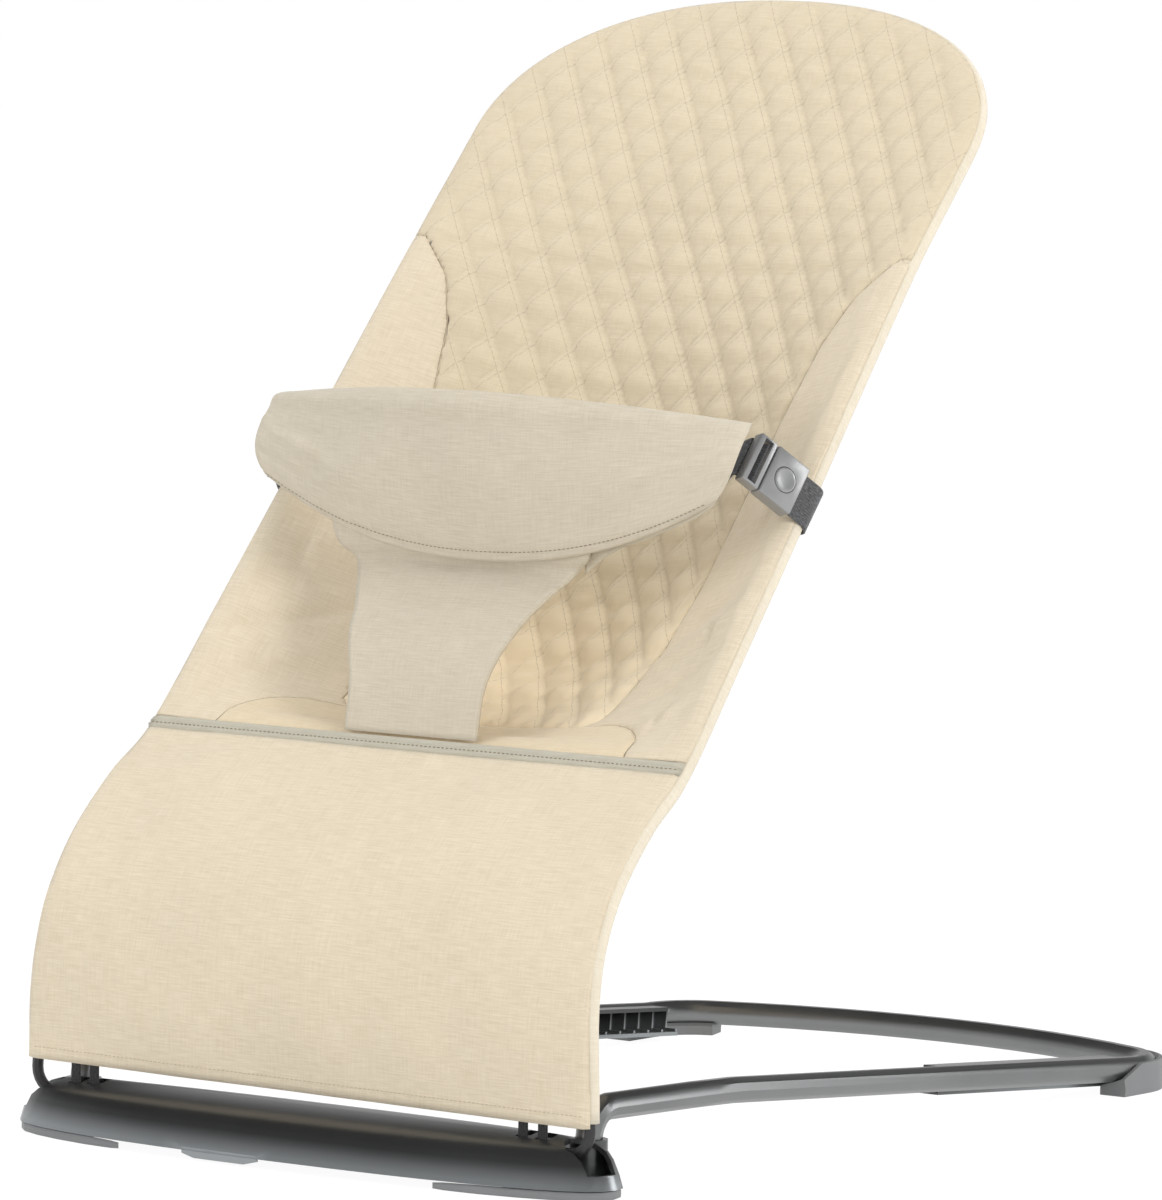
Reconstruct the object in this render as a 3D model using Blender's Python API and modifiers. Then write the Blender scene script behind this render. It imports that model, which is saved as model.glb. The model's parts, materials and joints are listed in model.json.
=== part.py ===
"""Baby bouncer: a wire seat frame in a sling cover, hinged on a floor base.

Metres, +Z up. +X is the sitter's left as seen from behind, the feet end is at -Y
and the head end at +Y. The model is drawn with Y = 0 on the seat's hinge, and one
empty then moves everything so that the origin is the bottom centre of the whole.
"""
import math

import bmesh
import bpy
import numpy as np
from mathutils import Matrix, Vector

NAME = "baby_bouncer"

# Clearances between pieces that touch
GAP = 0.0003
RUN = 0.0003

# Floor base
HINGE_Z = 0.022
PLATE_HALF = 0.194
PLATE_MID_Y = 0.0065
PLATE_DEPTH = 0.0395
PLATE_ROUND = 2.4
PLATE_WALL = 0.0025
SKIRT_Z = 0.005
TUBE_R = 0.007
ARM_IN = 0.0275
ARM_X = PLATE_HALF - ARM_IN
ARM_FRONT_Z = 0.0425
KINK_Y = 0.133
KINK_Z = 0.0405
REAR_Z = 0.0125
REAR_CORNER_Y = 0.526
REAR_CORNER_R = 0.035
REAR_BOW = math.radians(23)
SOCKET_Y = 0.0195
SOCKET_WALL = 0.0025
ARM_BEND_R = 0.016
NOTCH_FRONT = 0.0062
NOTCH_BACK = 0.0100
NOTCH_IN_X = ARM_X - 0.0005
NOTCH_TAPER = 0.005
NOTCH_FLOOR_Z = 0.0125
PLATE_RINGS = [(0.0, 0.0), (0.0022, 0.0070), (0.0055, 0.0145), (0.0085, 0.0185), (0.0125, 0.0208),
               (0.020, 0.0231), (0.034, 0.0250)]
BEARING_X = PLATE_HALF - 0.076
HEM_STRAP_X = (PLATE_HALF - 0.053, PLATE_HALF - 0.0405)

BEARING_SCREW_Y = (-0.0085, 0.0100)
BLOCK_LOW_Z = 0.0110
BLOCK_BASE_TOP_Z = 0.0148
BLOCK_LONG = 0.012
BLOCK_FLANGE = 0.0042
BLOCK_NECK = 0.0050
SOCKET_LOW_Z = 0.0075
SOCKET_TOP_Z = 0.0275
TUBE_END_Z = 0.0113
SCREW_R = 0.0015
SCREW_HEAD_R = 0.0030
SCREW_WAY_R = 0.0048
BOSS_R = 0.0031
BOSS_HOLE_R = 0.0018
BOSS_HOLE_DEEP = 0.0075
HEM_STRAP_WIDE = 0.0055
HEM_SLOT_ROOM = 0.0018
HEM_SLOT_LONG = 0.0150
ELASTIC = 0.0013
RIB_EVERY = 0.05
RIB_WALL = 0.0018
RIB_ROOM = 0.0022
RIB_LOW = 0.0035
TAB_LEFT = -0.058
TAB_RIGHT = -0.008
TAB_WALL = 0.0018
TAB_LOW_Z = 0.0015
TAB_TOP_Z = 0.0068
FOOT_IN = 0.0012
FOOT_INNER_X = PLATE_HALF - 0.052
REAR_FOOT_WALL = 0.0032
REAR_FOOT_TALL = 0.0075

# Height racks on the inner sides of the arms
RACK_DROP = 0.0020
DIVIDER_LOW = 0.0014
DIVIDER_HIGH = 0.0008
POST_HALF = 0.0008
RACK_FRONT_Y = 0.345
RACK_REAR_Y = 0.521
RACK_PITCH = 0.0135
RACK_DEEP = 0.011
RACK_HIGH = 0.0155
RACK_WALL = 0.0022
RACK_LIP = 0.007
POST_HIGH = 0.0016
RACK_SCREWS = (2, 9)

# Seat frame: the side of the wire loop, from the hinge up to the head
WIRE_R = 0.003
SEAT_SIDE = [(0.0, 0.022), (0.0, 0.048), (-0.0005, 0.072), (0.0015, 0.098), (0.009, 0.126),
             (0.026, 0.155), (0.0545, 0.184), (0.0865, 0.2085), (0.137, 0.268), (0.190, 0.3315),
             (0.245, 0.3985), (0.299, 0.463), (0.3345, 0.5025), (0.3755, 0.548), (0.4155, 0.5925)]
SEAT_IN = [(0.0, 0.012), (0.07, 0.013), (0.2085, 0.022), (0.34, 0.027), (0.463, 0.032),
           (0.60, 0.033)]
ARCH_HIGH = 0.099
ARCH_ROUND = 2.2
FRAME_CORNER_R = 0.012

# Cover
CLOTH = 0.0016
QUILT = 0.0030
TUNNEL_GAP = 0.0005
EDGE_IN = 0.0022
HEM_Z = 0.0385
BAND_Z = 0.2085
BAND_HIGH = 0.008
QUILT_TOP_Z = 0.463
EDGE_FLAT = 0.007
SEAM_GAP = 0.0012
SAG = [(0.0, 0.0), (0.012, 0.004), (0.022, 0.021), (0.05, 0.043), (0.09, 0.057), (0.14, 0.058),
       (0.20, 0.049), (0.28, 0.032), (0.333, 0.020), (0.385, 0.009), (0.45, 0.008), (0.53, 0.0)]
QUILT_EDGE = [(0.0, 0.44), (0.06, 0.52), (0.14, 0.62), (0.23, 0.70), (0.28, 0.76), (0.31, 0.84),
              (0.333, 0.985)]
POCKET_HALF = [(0.0, 0.1350), (0.0140, 0.1325), (0.0220, 0.1290), (0.0300, 0.1200),
               (0.0355, 0.1080), (0.0385, 0.0930)]
POCKET_TALL = POCKET_HALF[-1][0]
DIAMOND_CROWN = 0.0016

# Support bow and its clips
BOW_R = 0.0032
BOW_PIVOT_Z = 0.268
BOW_BEHIND = 0.011
BOW_END_BEHIND = 0.0125
BOW_IN = 0.0193
BOW_TAPER = 0.013
BOW_CORNER_R = 0.010
BOW_END_BEND = 0.004
BOW_END_LONG = 0.0090
BOW_POCKET = 1
PEG_R = 0.0046
PEG_LONG = 0.042
BRACKET_LONG = 0.018
BRACKET_WALL = 0.0025
BRACKET_FRONT = 0.0026
BRACKET_PAST = 0.0060

# Restraint
STRAP_WIDE = 0.025
WEB = 0.0014
BUCKLE_Z = 0.340
BUCKLE_TILT = math.radians(21.4)
BODY_START = 0.0105
BODY_LONG = 0.0225
BODY_WIDE = 0.029
BODY_THICK = 0.009
ADJUSTER_LONG = 0.0115
BUTTON_R = 0.0068
BUTTON_TRAVEL = 0.0015
BUTTON_PROUD = 0.0004
BUTTON_THICK = 0.0040
BUTTON_DISH = 0.0006
DISH_R = 0.030
WELL_ROOM = 0.0011
MOUTH_DEEP = 0.0090
MOUTH_HALF = 0.0112
MOUTH_THICK = 0.0059
ADJUSTER_HALF_THICK = 0.0037
ADJUSTER_RAIL = 0.0030
TONGUE_LONG = 0.0050
TONGUE_HALF = 0.0095
TONGUE_FRONT = -0.0012
TONGUE_THICK = 0.0015
FLAP_HALF = PLATE_HALF - 0.044
FLAP_THICK = 0.004
FLAP_TOP_Y = 0.1290
FLAP_TOP_BACK = 0.0380
FLAP_TOP_Z = 0.3955
FLAP_TOP_DROP = 0.0110
FLAP_LOW_Y = 0.1370
FLAP_LOW_BACK = 0.0130
FLAP_LOW_Z = 0.3055
FLAP_LOW_RISE = 0.0460
FLAP_LOW_ROUND = 2.2
FLAP_BULGE = 0.006
WEBBING_LOOSE = [(0.0042, 0.0022), (0.0052, -0.0010), (0.0072, -0.0047), (0.0122, -0.0050)]
WEBBING_SEWN = [(0.94, 0.0046), (0.87, 0.0035), (0.80, 0.0026)]
WEBBING_V = 0.46
CROTCH_THICK = 0.003
CROTCH_FRONT = 0.0052
CROTCH_LOW_HALF = 0.0430
CROTCH_TOP_HALF = 0.0725
CROTCH_LOW_SHIFT = -0.0030
CROTCH_TOP_SHIFT = -0.0125
CROTCH = [(0.0925, 0.2420, 0.0440, -0.0040), (0.1030, 0.2630, 0.0500, -0.0060),
          (0.1240, 0.2830, 0.0610, -0.0105)]


def collection(name):
    coll = bpy.data.collections.new(name)
    bpy.context.scene.collection.children.link(coll)
    return coll


def material(name, color, roughness, metallic=0.0):
    mat = bpy.data.materials.new(name)
    mat.use_nodes = True
    node = mat.node_tree.nodes["Principled BSDF"]
    node.inputs["Base Color"].default_value = (*color, 1.0)
    node.inputs["Roughness"].default_value = roughness
    node.inputs["Metallic"].default_value = metallic
    mat.diffuse_color = (*color, 1.0)
    return mat


def finish(obj, mat_args, owner, smooth=35):
    """Give an object its own material, a parent empty and soft shading."""
    mat = material(obj.name + "_material", *mat_args)
    obj.data.materials.clear()
    obj.data.materials.append(mat)
    obj.parent = owner
    obj.matrix_parent_inverse = owner.matrix_world.inverted()
    if obj.type == "MESH" and smooth:
        obj.data.shade_smooth()
        obj.data.set_sharp_from_angle(angle=math.radians(smooth))
    return obj


def mesh_object(name, bm, coll):
    mesh = bpy.data.meshes.new(name)
    bm.to_mesh(mesh)
    bm.free()
    obj = bpy.data.objects.new(name, mesh)
    coll.objects.link(obj)
    return obj


def empty(name, place, owner=None):
    obj = bpy.data.objects.new(name, None)
    PART.objects.link(obj)
    obj.empty_display_size = 0.02
    obj.location = place
    if owner:
        obj.parent = owner
        obj.matrix_parent_inverse = owner.matrix_world.inverted()
    bpy.context.view_layer.update()
    return obj


def box_mesh(size, matrix=None):
    """A cube of the given size; matrix places it."""
    bm = bmesh.new()
    bmesh.ops.create_cube(bm, size=1.0)
    bmesh.ops.scale(bm, vec=size, verts=bm.verts)
    if matrix is not None:
        bmesh.ops.transform(bm, matrix=matrix, verts=bm.verts)
    return bm


def cylinder_mesh(radius, length, matrix, sides=24, radius2=None):
    bm = bmesh.new()
    top = radius if radius2 is None else radius2
    bmesh.ops.create_cone(bm, cap_ends=True, segments=sides, radius1=radius, radius2=top,
                          depth=length)
    bmesh.ops.transform(bm, matrix=matrix, verts=bm.verts)
    return bm


def along(direction, place=(0, 0, 0)):
    """A matrix that turns +Z to the direction and moves to the place."""
    turn = Vector(direction).to_track_quat("Z", "Y").to_matrix().to_4x4()
    return Matrix.Translation(place) @ turn


def cutter(name, bm, kind, target):
    """Boolean the mesh from the target, or join it to the target."""
    obj = mesh_object(name, bm, CUTTERS)
    obj.hide_render = True
    obj.display_type = "WIRE"
    obj.parent = WHOLE
    mod = target.modifiers.new(name, "BOOLEAN")
    mod.operation = kind
    mod.object = obj
    mod.solver = "EXACT"
    return obj


def solidify(obj, thickness, offset=0.0):
    mod = obj.modifiers.new("wall", "SOLIDIFY")
    mod.thickness = thickness
    mod.offset = offset
    mod.use_even_offset = True
    return mod


def bevel(obj, width, segments=2, angle=40):
    mod = obj.modifiers.new("edges", "BEVEL")
    mod.width = width
    mod.segments = segments
    mod.limit_method = "ANGLE"
    mod.angle_limit = math.radians(angle)
    mod.harden_normals = False
    return mod


def sheet(name, rows, thickness, diamond=0.0):
    """A cloth sheet: rows of points across, thickened to a closed solid."""
    bm = bmesh.new()
    grid = [[bm.verts.new(p) for p in row] for row in rows]
    for j in range(len(grid) - 1):
        for i in range(len(grid[j]) - 1):
            quad = [grid[j][i], grid[j][i + 1], grid[j + 1][i + 1], grid[j + 1][i]]
            if not diamond:
                bm.faces.new(quad)
            elif (i + j) % 2:
                bm.faces.new((quad[0], quad[1], quad[3]))
                bm.faces.new((quad[1], quad[2], quad[3]))
            else:
                bm.faces.new((quad[0], quad[1], quad[2]))
                bm.faces.new((quad[0], quad[2], quad[3]))
    if diamond:
        bm.normal_update()
        for j, row in enumerate(grid):
            for i, vert in enumerate(row):
                inside = 0 < j < len(grid) - 1 and 0 < i < len(row) - 1
                if inside and (i + j) % 2:
                    vert.co += vert.normal * diamond
    obj = mesh_object(name, bm, PART)
    solidify(obj, thickness)
    return obj


def tube(name, points, radius, closed=False, resolution=3, coll=None):
    """A round bar along the points."""
    curve = bpy.data.curves.new(name, "CURVE")
    curve.dimensions = "3D"
    curve.bevel_depth = radius
    curve.bevel_resolution = resolution
    curve.use_fill_caps = not closed
    spline = curve.splines.new("POLY")
    spline.points.add(len(points) - 1)
    for point, place in zip(spline.points, points):
        point.co = (*place, 1.0)
    spline.use_cyclic_u = closed
    obj = bpy.data.objects.new(name, curve)
    (coll or PART).objects.link(obj)
    return obj


def tube_mesh(points, radius, resolution=3):
    """The same bar as a bmesh with welded caps, for a cut or a join."""
    obj = tube("temp_tube", points, radius, resolution=resolution)
    bpy.context.view_layer.update()
    graph = bpy.context.evaluated_depsgraph_get()
    mesh = bpy.data.meshes.new_from_object(obj.evaluated_get(graph))
    bm = bmesh.new()
    bm.from_mesh(mesh)
    bmesh.ops.remove_doubles(bm, verts=bm.verts, dist=0.00001)
    bpy.data.objects.remove(obj)
    bpy.data.meshes.remove(mesh)
    return bm


def arc(center, start, end, radius, steps):
    """Points on an arc in a plane, angles in radians, as (a, b) pairs."""
    out = []
    for k in range(steps + 1):
        t = start + (end - start) * k / steps
        out.append((center[0] + radius * math.cos(t), center[1] + radius * math.sin(t)))
    return out


class SeatSide:
    """The side of the seat frame as a smooth curve with length, tangent and half width."""

    def __init__(self, points, steps=24):
        pts = np.array(points)
        ends = np.vstack([2 * pts[0] - pts[1], pts, 2 * pts[-1] - pts[-2]])
        out = []
        for k in range(1, len(ends) - 2):
            p0, p1, p2, p3 = ends[k - 1:k + 3]
            for t in np.linspace(0, 1, steps, endpoint=False):
                out.append(0.5 * (2 * p1 + (p2 - p0) * t + (2 * p0 - 5 * p1 + 4 * p2 - p3) * t * t
                                  + (3 * p1 - p0 - 3 * p2 + p3) * t ** 3))
        out.append(pts[-1])
        self.yz = np.array(out)
        step = np.hypot(*np.diff(self.yz, axis=0).T)
        self.s = np.concatenate([[0], np.cumsum(step)])
        self.top = self.s[-1]
        self.arch = self.top - ARCH_HIGH

    def at_z(self, z):
        return float(np.interp(z, self.yz[:, 1], self.s))

    def place(self, s):
        return (float(np.interp(s, self.s, self.yz[:, 0])),
                float(np.interp(s, self.s, self.yz[:, 1])))

    def tangent(self, s):
        a = self.place(max(s - 0.004, 0.0))
        b = self.place(min(s + 0.004, self.top))
        size = math.hypot(b[0] - a[0], b[1] - a[1])
        return ((b[0] - a[0]) / size, (b[1] - a[1]) / size)

    def half(self, s):
        z = self.place(s)[1]
        return PLATE_HALF - float(np.interp(z, [p[0] for p in SEAT_IN], [p[1] for p in SEAT_IN]))

    def point(self, x, s, behind=0.0):
        """A point at x across, s up the side, and a distance behind the frame."""
        y, z = self.place(s)
        ty, tz = self.tangent(s)
        return Vector((x, y + tz * behind, z - ty * behind))

    def arch_s(self, x, inset=0.0):
        """Where the top of the wire, or a line drawn in from it, lies at x across."""
        u = min(abs(x) / (self.half(self.arch) - inset), 1.0)
        return self.arch + (ARCH_HIGH - inset) * (1 - u ** ARCH_ROUND) ** (1 / ARCH_ROUND)


def front_plate():
    """A moulded shell: a sloping skirt all round and a shallow dome on top."""
    count = 40
    bm = bmesh.new()
    loops = []
    for inset, rise in PLATE_RINGS:
        loops.append([bm.verts.new((*plate_outline(2 * math.pi * k / count, inset), SKIRT_Z + rise))
                      for k in range(count)])
    for low, high in zip(loops, loops[1:]):
        for k in range(count):
            bm.faces.new((low[k], low[(k + 1) % count], high[(k + 1) % count], high[k]))
    bm.faces.new(loops[-1])
    obj = mesh_object("front_plate", bm, PART)
    solidify(obj, PLATE_WALL, offset=-1.0)
    low = 0.01
    below = box_mesh((3 * PLATE_HALF, 5 * PLATE_DEPTH, low),
                     Matrix.Translation((0, PLATE_MID_Y, SKIRT_Z + 0.0001 - low / 2)))
    cutter("flat_rim", below, "DIFFERENCE", obj)
    front_tab(obj)
    for k in range(-2, 3):
        plate_rib(obj, RIB_EVERY * k, k)
    for side in (-1, 1):
        for k, dy in enumerate(BEARING_SCREW_Y):
            bearing_boss(obj, side, k, dy)
        plate_socket(obj, side)
        plate_notch(obj, side)
        for k, x in enumerate(HEM_STRAP_X):
            slot = box_mesh((HEM_STRAP_WIDE + HEM_SLOT_ROOM, HEM_SLOT_LONG, 0.02),
                            Matrix.Translation((side * x, WIRE_R, HINGE_Z + 0.0107)))
            cutter("slot_%d_%d" % (side, k), slot, "DIFFERENCE", obj)
    return obj


def plate_outline(angle, inset):
    """The plate's outline in plan, drawn in by the inset."""
    c, s = math.cos(angle), math.sin(angle)
    x = (PLATE_HALF - inset) * math.copysign(abs(c) ** (2 / PLATE_ROUND), c)
    y = (PLATE_DEPTH - inset) * math.copysign(abs(s) ** (2 / PLATE_ROUND), s)
    return (x, PLATE_MID_Y + y)


def plate_front_y(x):
    u = min(abs(x) / PLATE_HALF, 1.0)
    return PLATE_MID_Y - PLATE_DEPTH * (1 - u ** PLATE_ROUND) ** (1 / PLATE_ROUND)


def plate_top_z(x, y):
    """The height of the plate's outer surface at a place in plan."""
    low, high = 0.0, PLATE_DEPTH * 0.98
    for _ in range(30):
        mid = (low + high) / 2
        value = (abs(x) / (PLATE_HALF - mid)) ** PLATE_ROUND
        value += (abs(y - PLATE_MID_Y) / (PLATE_DEPTH - mid)) ** PLATE_ROUND
        if value < 1:
            low = mid
        else:
            high = mid
    return SKIRT_Z + float(np.interp(low, [p[0] for p in PLATE_RINGS], [p[1] for p in PLATE_RINGS]))


def front_tab(target):
    """The short tab that hangs under the skirt, left of the middle."""
    xs = np.linspace(TAB_LEFT, TAB_RIGHT, 7)
    bm = bmesh.new()
    loops = []
    for k, x in enumerate(xs):
        drop = TAB_LOW_Z if 0 < k < len(xs) - 1 else TAB_LOW_Z + 0.0020
        y = plate_front_y(x) + 0.0004
        loops.append([bm.verts.new(p) for p in
                      ((x, y, drop), (x, y + TAB_WALL, drop), (x, y + TAB_WALL, TAB_TOP_Z),
                       (x, y, TAB_TOP_Z))])
    for a, b in zip(loops, loops[1:]):
        for k in range(4):
            bm.faces.new((a[k], b[k], b[(k + 1) % 4], a[(k + 1) % 4]))
    bm.faces.new(loops[0])
    bm.faces.new(reversed(loops[-1]))
    bmesh.ops.recalc_face_normals(bm, faces=bm.faces)
    cutter("tab", bm, "UNION", target)


def extrude(points, offset):
    """A prism: a flat outline of 3-D points, drawn out by the offset."""
    bm = bmesh.new()
    face = bm.faces.new([bm.verts.new(p) for p in points])
    out = bmesh.ops.extrude_face_region(bm, geom=[face])
    moved = [v for v in out["geom"] if isinstance(v, bmesh.types.BMVert)]
    bmesh.ops.translate(bm, vec=offset, verts=moved)
    bmesh.ops.recalc_face_normals(bm, faces=bm.faces)
    return bm


def plate_rib(target, x, k):
    """A cross rib under the top, cut out round the seat's cross bar."""
    low = SKIRT_Z + RIB_LOW
    room = WIRE_R + RIB_ROOM
    over = HINGE_Z + WIRE_R + 0.0007
    front = plate_front_y(x) + PLATE_WALL + 0.0005
    back = 2 * PLATE_MID_Y - front
    top = [(y, plate_top_z(x, y) - 0.8 * PLATE_WALL) for y in np.linspace(front, back, 13)]
    under = [(back, low), (room, low), (room, over), (-room, over), (-room, low), (front, low)]
    outline = [(x - RIB_WALL / 2, y, z) for y, z in top + under]
    cutter("rib_%d" % k, extrude(outline, (RIB_WALL, 0, 0)), "UNION", target)


def bearing_boss(target, side, k, dy):
    """A round boss under the top that takes a bearing's screw."""
    x = side * BEARING_X
    low = BLOCK_BASE_TOP_Z + GAP
    high = plate_top_z(x, dy) - PLATE_WALL / 2
    boss = cylinder_mesh(BOSS_R, high - low, Matrix.Translation((x, dy, (low + high) / 2)), 14)
    cutter("boss_%d_%d" % (side, k), boss, "UNION", target)
    middle = low + BOSS_HOLE_DEEP / 2 - 0.001
    hole = cylinder_mesh(BOSS_HOLE_R, BOSS_HOLE_DEEP, Matrix.Translation((x, dy, middle)), 10)
    cutter("boss_hole_%d_%d" % (side, k), hole, "DIFFERENCE", target)


def plate_socket(target, side):
    """The round socket that takes the end of the base tube."""
    low, floor, high = SOCKET_LOW_Z, TUBE_END_Z - GAP, SOCKET_TOP_Z
    outer = TUBE_R + GAP + SOCKET_WALL
    wall = cylinder_mesh(outer, high - low,
                         Matrix.Translation((side * ARM_X, SOCKET_Y, (low + high) / 2)), 24)
    cutter("socket_%d" % side, wall, "UNION", target)
    bore = cylinder_mesh(TUBE_R + GAP, 0.04,
                         Matrix.Translation((side * ARM_X, SOCKET_Y, floor + 0.02)), 24)
    cutter("bore_%d" % side, bore, "DIFFERENCE", target)
    hole = cylinder_mesh(SCREW_R + GAP, 0.02, Matrix.Translation((side * ARM_X, SOCKET_Y, floor)), 12)
    cutter("screw_way_%d" % side, hole, "DIFFERENCE", target)


def plate_notch(target, side):
    """The notch in the plate's end where the seat wire comes out and swings back."""
    inner, outer = side * NOTCH_IN_X, side * (PLATE_HALF + 0.01)
    taper = side * (NOTCH_IN_X + NOTCH_TAPER)
    mid = (NOTCH_BACK - NOTCH_FRONT) / 2
    narrow = WIRE_R
    plan = [(inner, mid - narrow), (taper, -NOTCH_FRONT), (outer, -NOTCH_FRONT),
            (outer, NOTCH_BACK), (taper, NOTCH_BACK), (inner, mid + narrow)]
    outline = [(x, y, NOTCH_FLOOR_Z) for x, y in plan]
    cutter("notch_%d" % side, extrude(outline, (0, 0, 0.03)), "DIFFERENCE", target)


def front_foot(name, side):
    """A rubber pad under the plate's end, following its outline."""
    angles = np.linspace(-62, 62, 13)
    pts = []
    for deg in angles:
        t = math.radians(deg)
        x, y = plate_outline(t, FOOT_IN)
        pts.append((side * x, y))
    inner = FOOT_INNER_X
    outline = [(side * inner, plate_front_y(inner) + 0.003)] + pts
    outline.append((side * inner, 2 * PLATE_MID_Y - plate_front_y(inner) - 0.003))
    bm = extrude([(x, y, 0.0) for x, y in outline], (0, 0, SKIRT_Z - GAP))
    obj = mesh_object(name, bm, PART)
    bevel(obj, 0.0008, 2)
    hole = cylinder_mesh(SCREW_WAY_R, 0.02, Matrix.Translation((side * ARM_X, SOCKET_Y, 0.0)), 16)
    cutter(name + "_screw_way", hole, "DIFFERENCE", obj)
    return obj


def base_half():
    """The +X half of the base tube's centre line, from the plate to the rear middle."""
    half = [(ARM_X, SOCKET_Y, TUBE_END_Z), (ARM_X, SOCKET_Y, ARM_FRONT_Z - ARM_BEND_R)]
    bend = arc((SOCKET_Y + ARM_BEND_R, ARM_FRONT_Z - ARM_BEND_R), math.pi, math.pi / 2,
               ARM_BEND_R, 6)
    half += [(ARM_X, y, z) for y, z in bend[1:]]
    half.append((ARM_X, KINK_Y - 0.025, KINK_Z + 0.0004))
    half.append((ARM_X, KINK_Y - 0.008, KINK_Z - 0.0001))
    for dy in (0.010, 0.030):
        half.append((ARM_X, KINK_Y + dy, arm_z(KINK_Y + dy)))
    half.append((ARM_X, REAR_CORNER_Y - 0.06, arm_z(REAR_CORNER_Y - 0.06)))
    half.append((ARM_X, REAR_CORNER_Y - 0.03, arm_z(REAR_CORNER_Y - 0.03)))
    corner = arc((ARM_X - REAR_CORNER_R, REAR_CORNER_Y), 0, math.pi / 2 - REAR_BOW,
                 REAR_CORNER_R, 9)
    half += [(x, y, REAR_Z) for x, y in corner]
    end_x, end_y = corner[-1]
    big = end_x / math.sin(REAR_BOW)
    for k in range(1, 7):
        t = REAR_BOW * (1 - k / 6)
        half.append((big * math.sin(t), end_y + big * (math.cos(t) - math.cos(REAR_BOW)), REAR_Z))
    return half


def base_tube():
    """One bent steel tube: down into the plate at both ends, round behind the seat."""
    half = base_half()
    other = [(-x, y, z) for x, y, z in reversed(half[:-1])]
    return tube("base_tube", half + other, TUBE_R)


def arm_z(y):
    """The height of an arm's axis behind its kink."""
    return KINK_Z + (REAR_Z - KINK_Z) * (y - KINK_Y) / (REAR_CORNER_Y - KINK_Y)


def rack_frame(side):
    """Axes of a height rack: along the arm, up, and its front end on the tube."""
    slope = (REAR_Z - KINK_Z) / (REAR_CORNER_Y - KINK_Y)
    run = Vector((0, 1, slope)).normalized()
    up = Vector((0, -run.z, run.y))
    start = Vector((side * (ARM_X - TUBE_R - GAP), RACK_FRONT_Y, arm_z(RACK_FRONT_Y) - RACK_DROP))
    inward = Vector((-side, 0, 0))
    return start, run, up, inward


def rack_length():
    slope = (REAR_Z - KINK_Z) / (REAR_CORNER_Y - KINK_Y)
    return (RACK_REAR_Y - RACK_FRONT_Y) * math.hypot(1, slope)


def rack_rib_at(k):
    """How far along the rack its divider number k stands."""
    return (rack_length() % RACK_PITCH) / 2 + k * RACK_PITCH


def rack_box(start, run, up, inward, low, high):
    """A box in the rack's axes: (along, up, inward) corners."""
    mid = [(a + b) / 2 for a, b in zip(low, high)]
    size = [abs(b - a) for a, b in zip(low, high)]
    turn = Matrix((run, up, inward)).transposed().to_4x4()
    place = Matrix.Translation(start + run * mid[0] + up * mid[1] + inward * mid[2])
    if turn.determinant() < 0:
        turn = turn @ Matrix.Diagonal((1, 1, -1, 1))
    return box_mesh(size, place @ turn)


def height_rack(name, side):
    """A toothed rack: a back wall on the tube, a flange, a shelf and dividers."""
    start, run, up, inward = rack_frame(side)
    long = rack_length()
    half = RACK_HIGH / 2
    lip, deep, wall = RACK_DEEP + RACK_LIP, RACK_DEEP - 0.0005, RACK_WALL
    profile = [(0, -half), (lip, -half), (lip, wall - half), (wall, wall - half), (wall, half - wall),
               (deep, half - wall), (deep, half), (0, half)]
    obj = mesh_object(name, extrude([start + inward * a + up * b for a, b in profile], run * long),
                      PART)
    for k in range(int(long / RACK_PITCH) + 1):
        mid = rack_rib_at(k)
        cutter("%s_rib_%d" % (name, k), rack_divider(start, run, up, inward, mid, half), "UNION", obj)
        front = RACK_DEEP + RACK_LIP - POST_HALF
        post = rack_box(start, run, up, inward, (mid - POST_HALF, -half + RACK_WALL / 2, RACK_DEEP / 2),
                        (mid + POST_HALF, -half + RACK_WALL + POST_HIGH, front))
        cutter("%s_post_%d" % (name, k), post, "UNION", obj)
    for k in RACK_SCREWS:
        spot = rack_screw_place(side, k)
        hole = cylinder_mesh(SCREW_R + GAP, 0.02, along(inward, spot), 12)
        cutter("%s_hole_%d" % (name, k), hole, "DIFFERENCE", obj)
    return obj


def rack_screw_place(side, k):
    """Where a rack's screw crosses the face of the back wall, in pocket number k."""
    start, run, up, inward = rack_frame(side)
    return start + run * (rack_rib_at(k) + RACK_PITCH / 2) + up * 0.0010 + inward * RACK_WALL


def rack_divider(start, run, up, inward, mid, half):
    """A wedge between two pockets, thick at the shelf and thin at its front edge."""
    bm = bmesh.new()
    corners = []
    for height, wide in ((-half + RACK_WALL / 2, DIVIDER_LOW), (half - RACK_WALL / 2, DIVIDER_HIGH)):
        for depth, grow in ((RACK_WALL / 2, 1.0), (RACK_DEEP - 0.0009, 0.6)):
            for sign in (-1, 1):
                corners.append(start + run * (mid + sign * wide * grow) + up * height
                               + inward * depth)
    verts = [bm.verts.new(c) for c in corners]
    bmesh.ops.convex_hull(bm, input=verts)
    return bm


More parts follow.
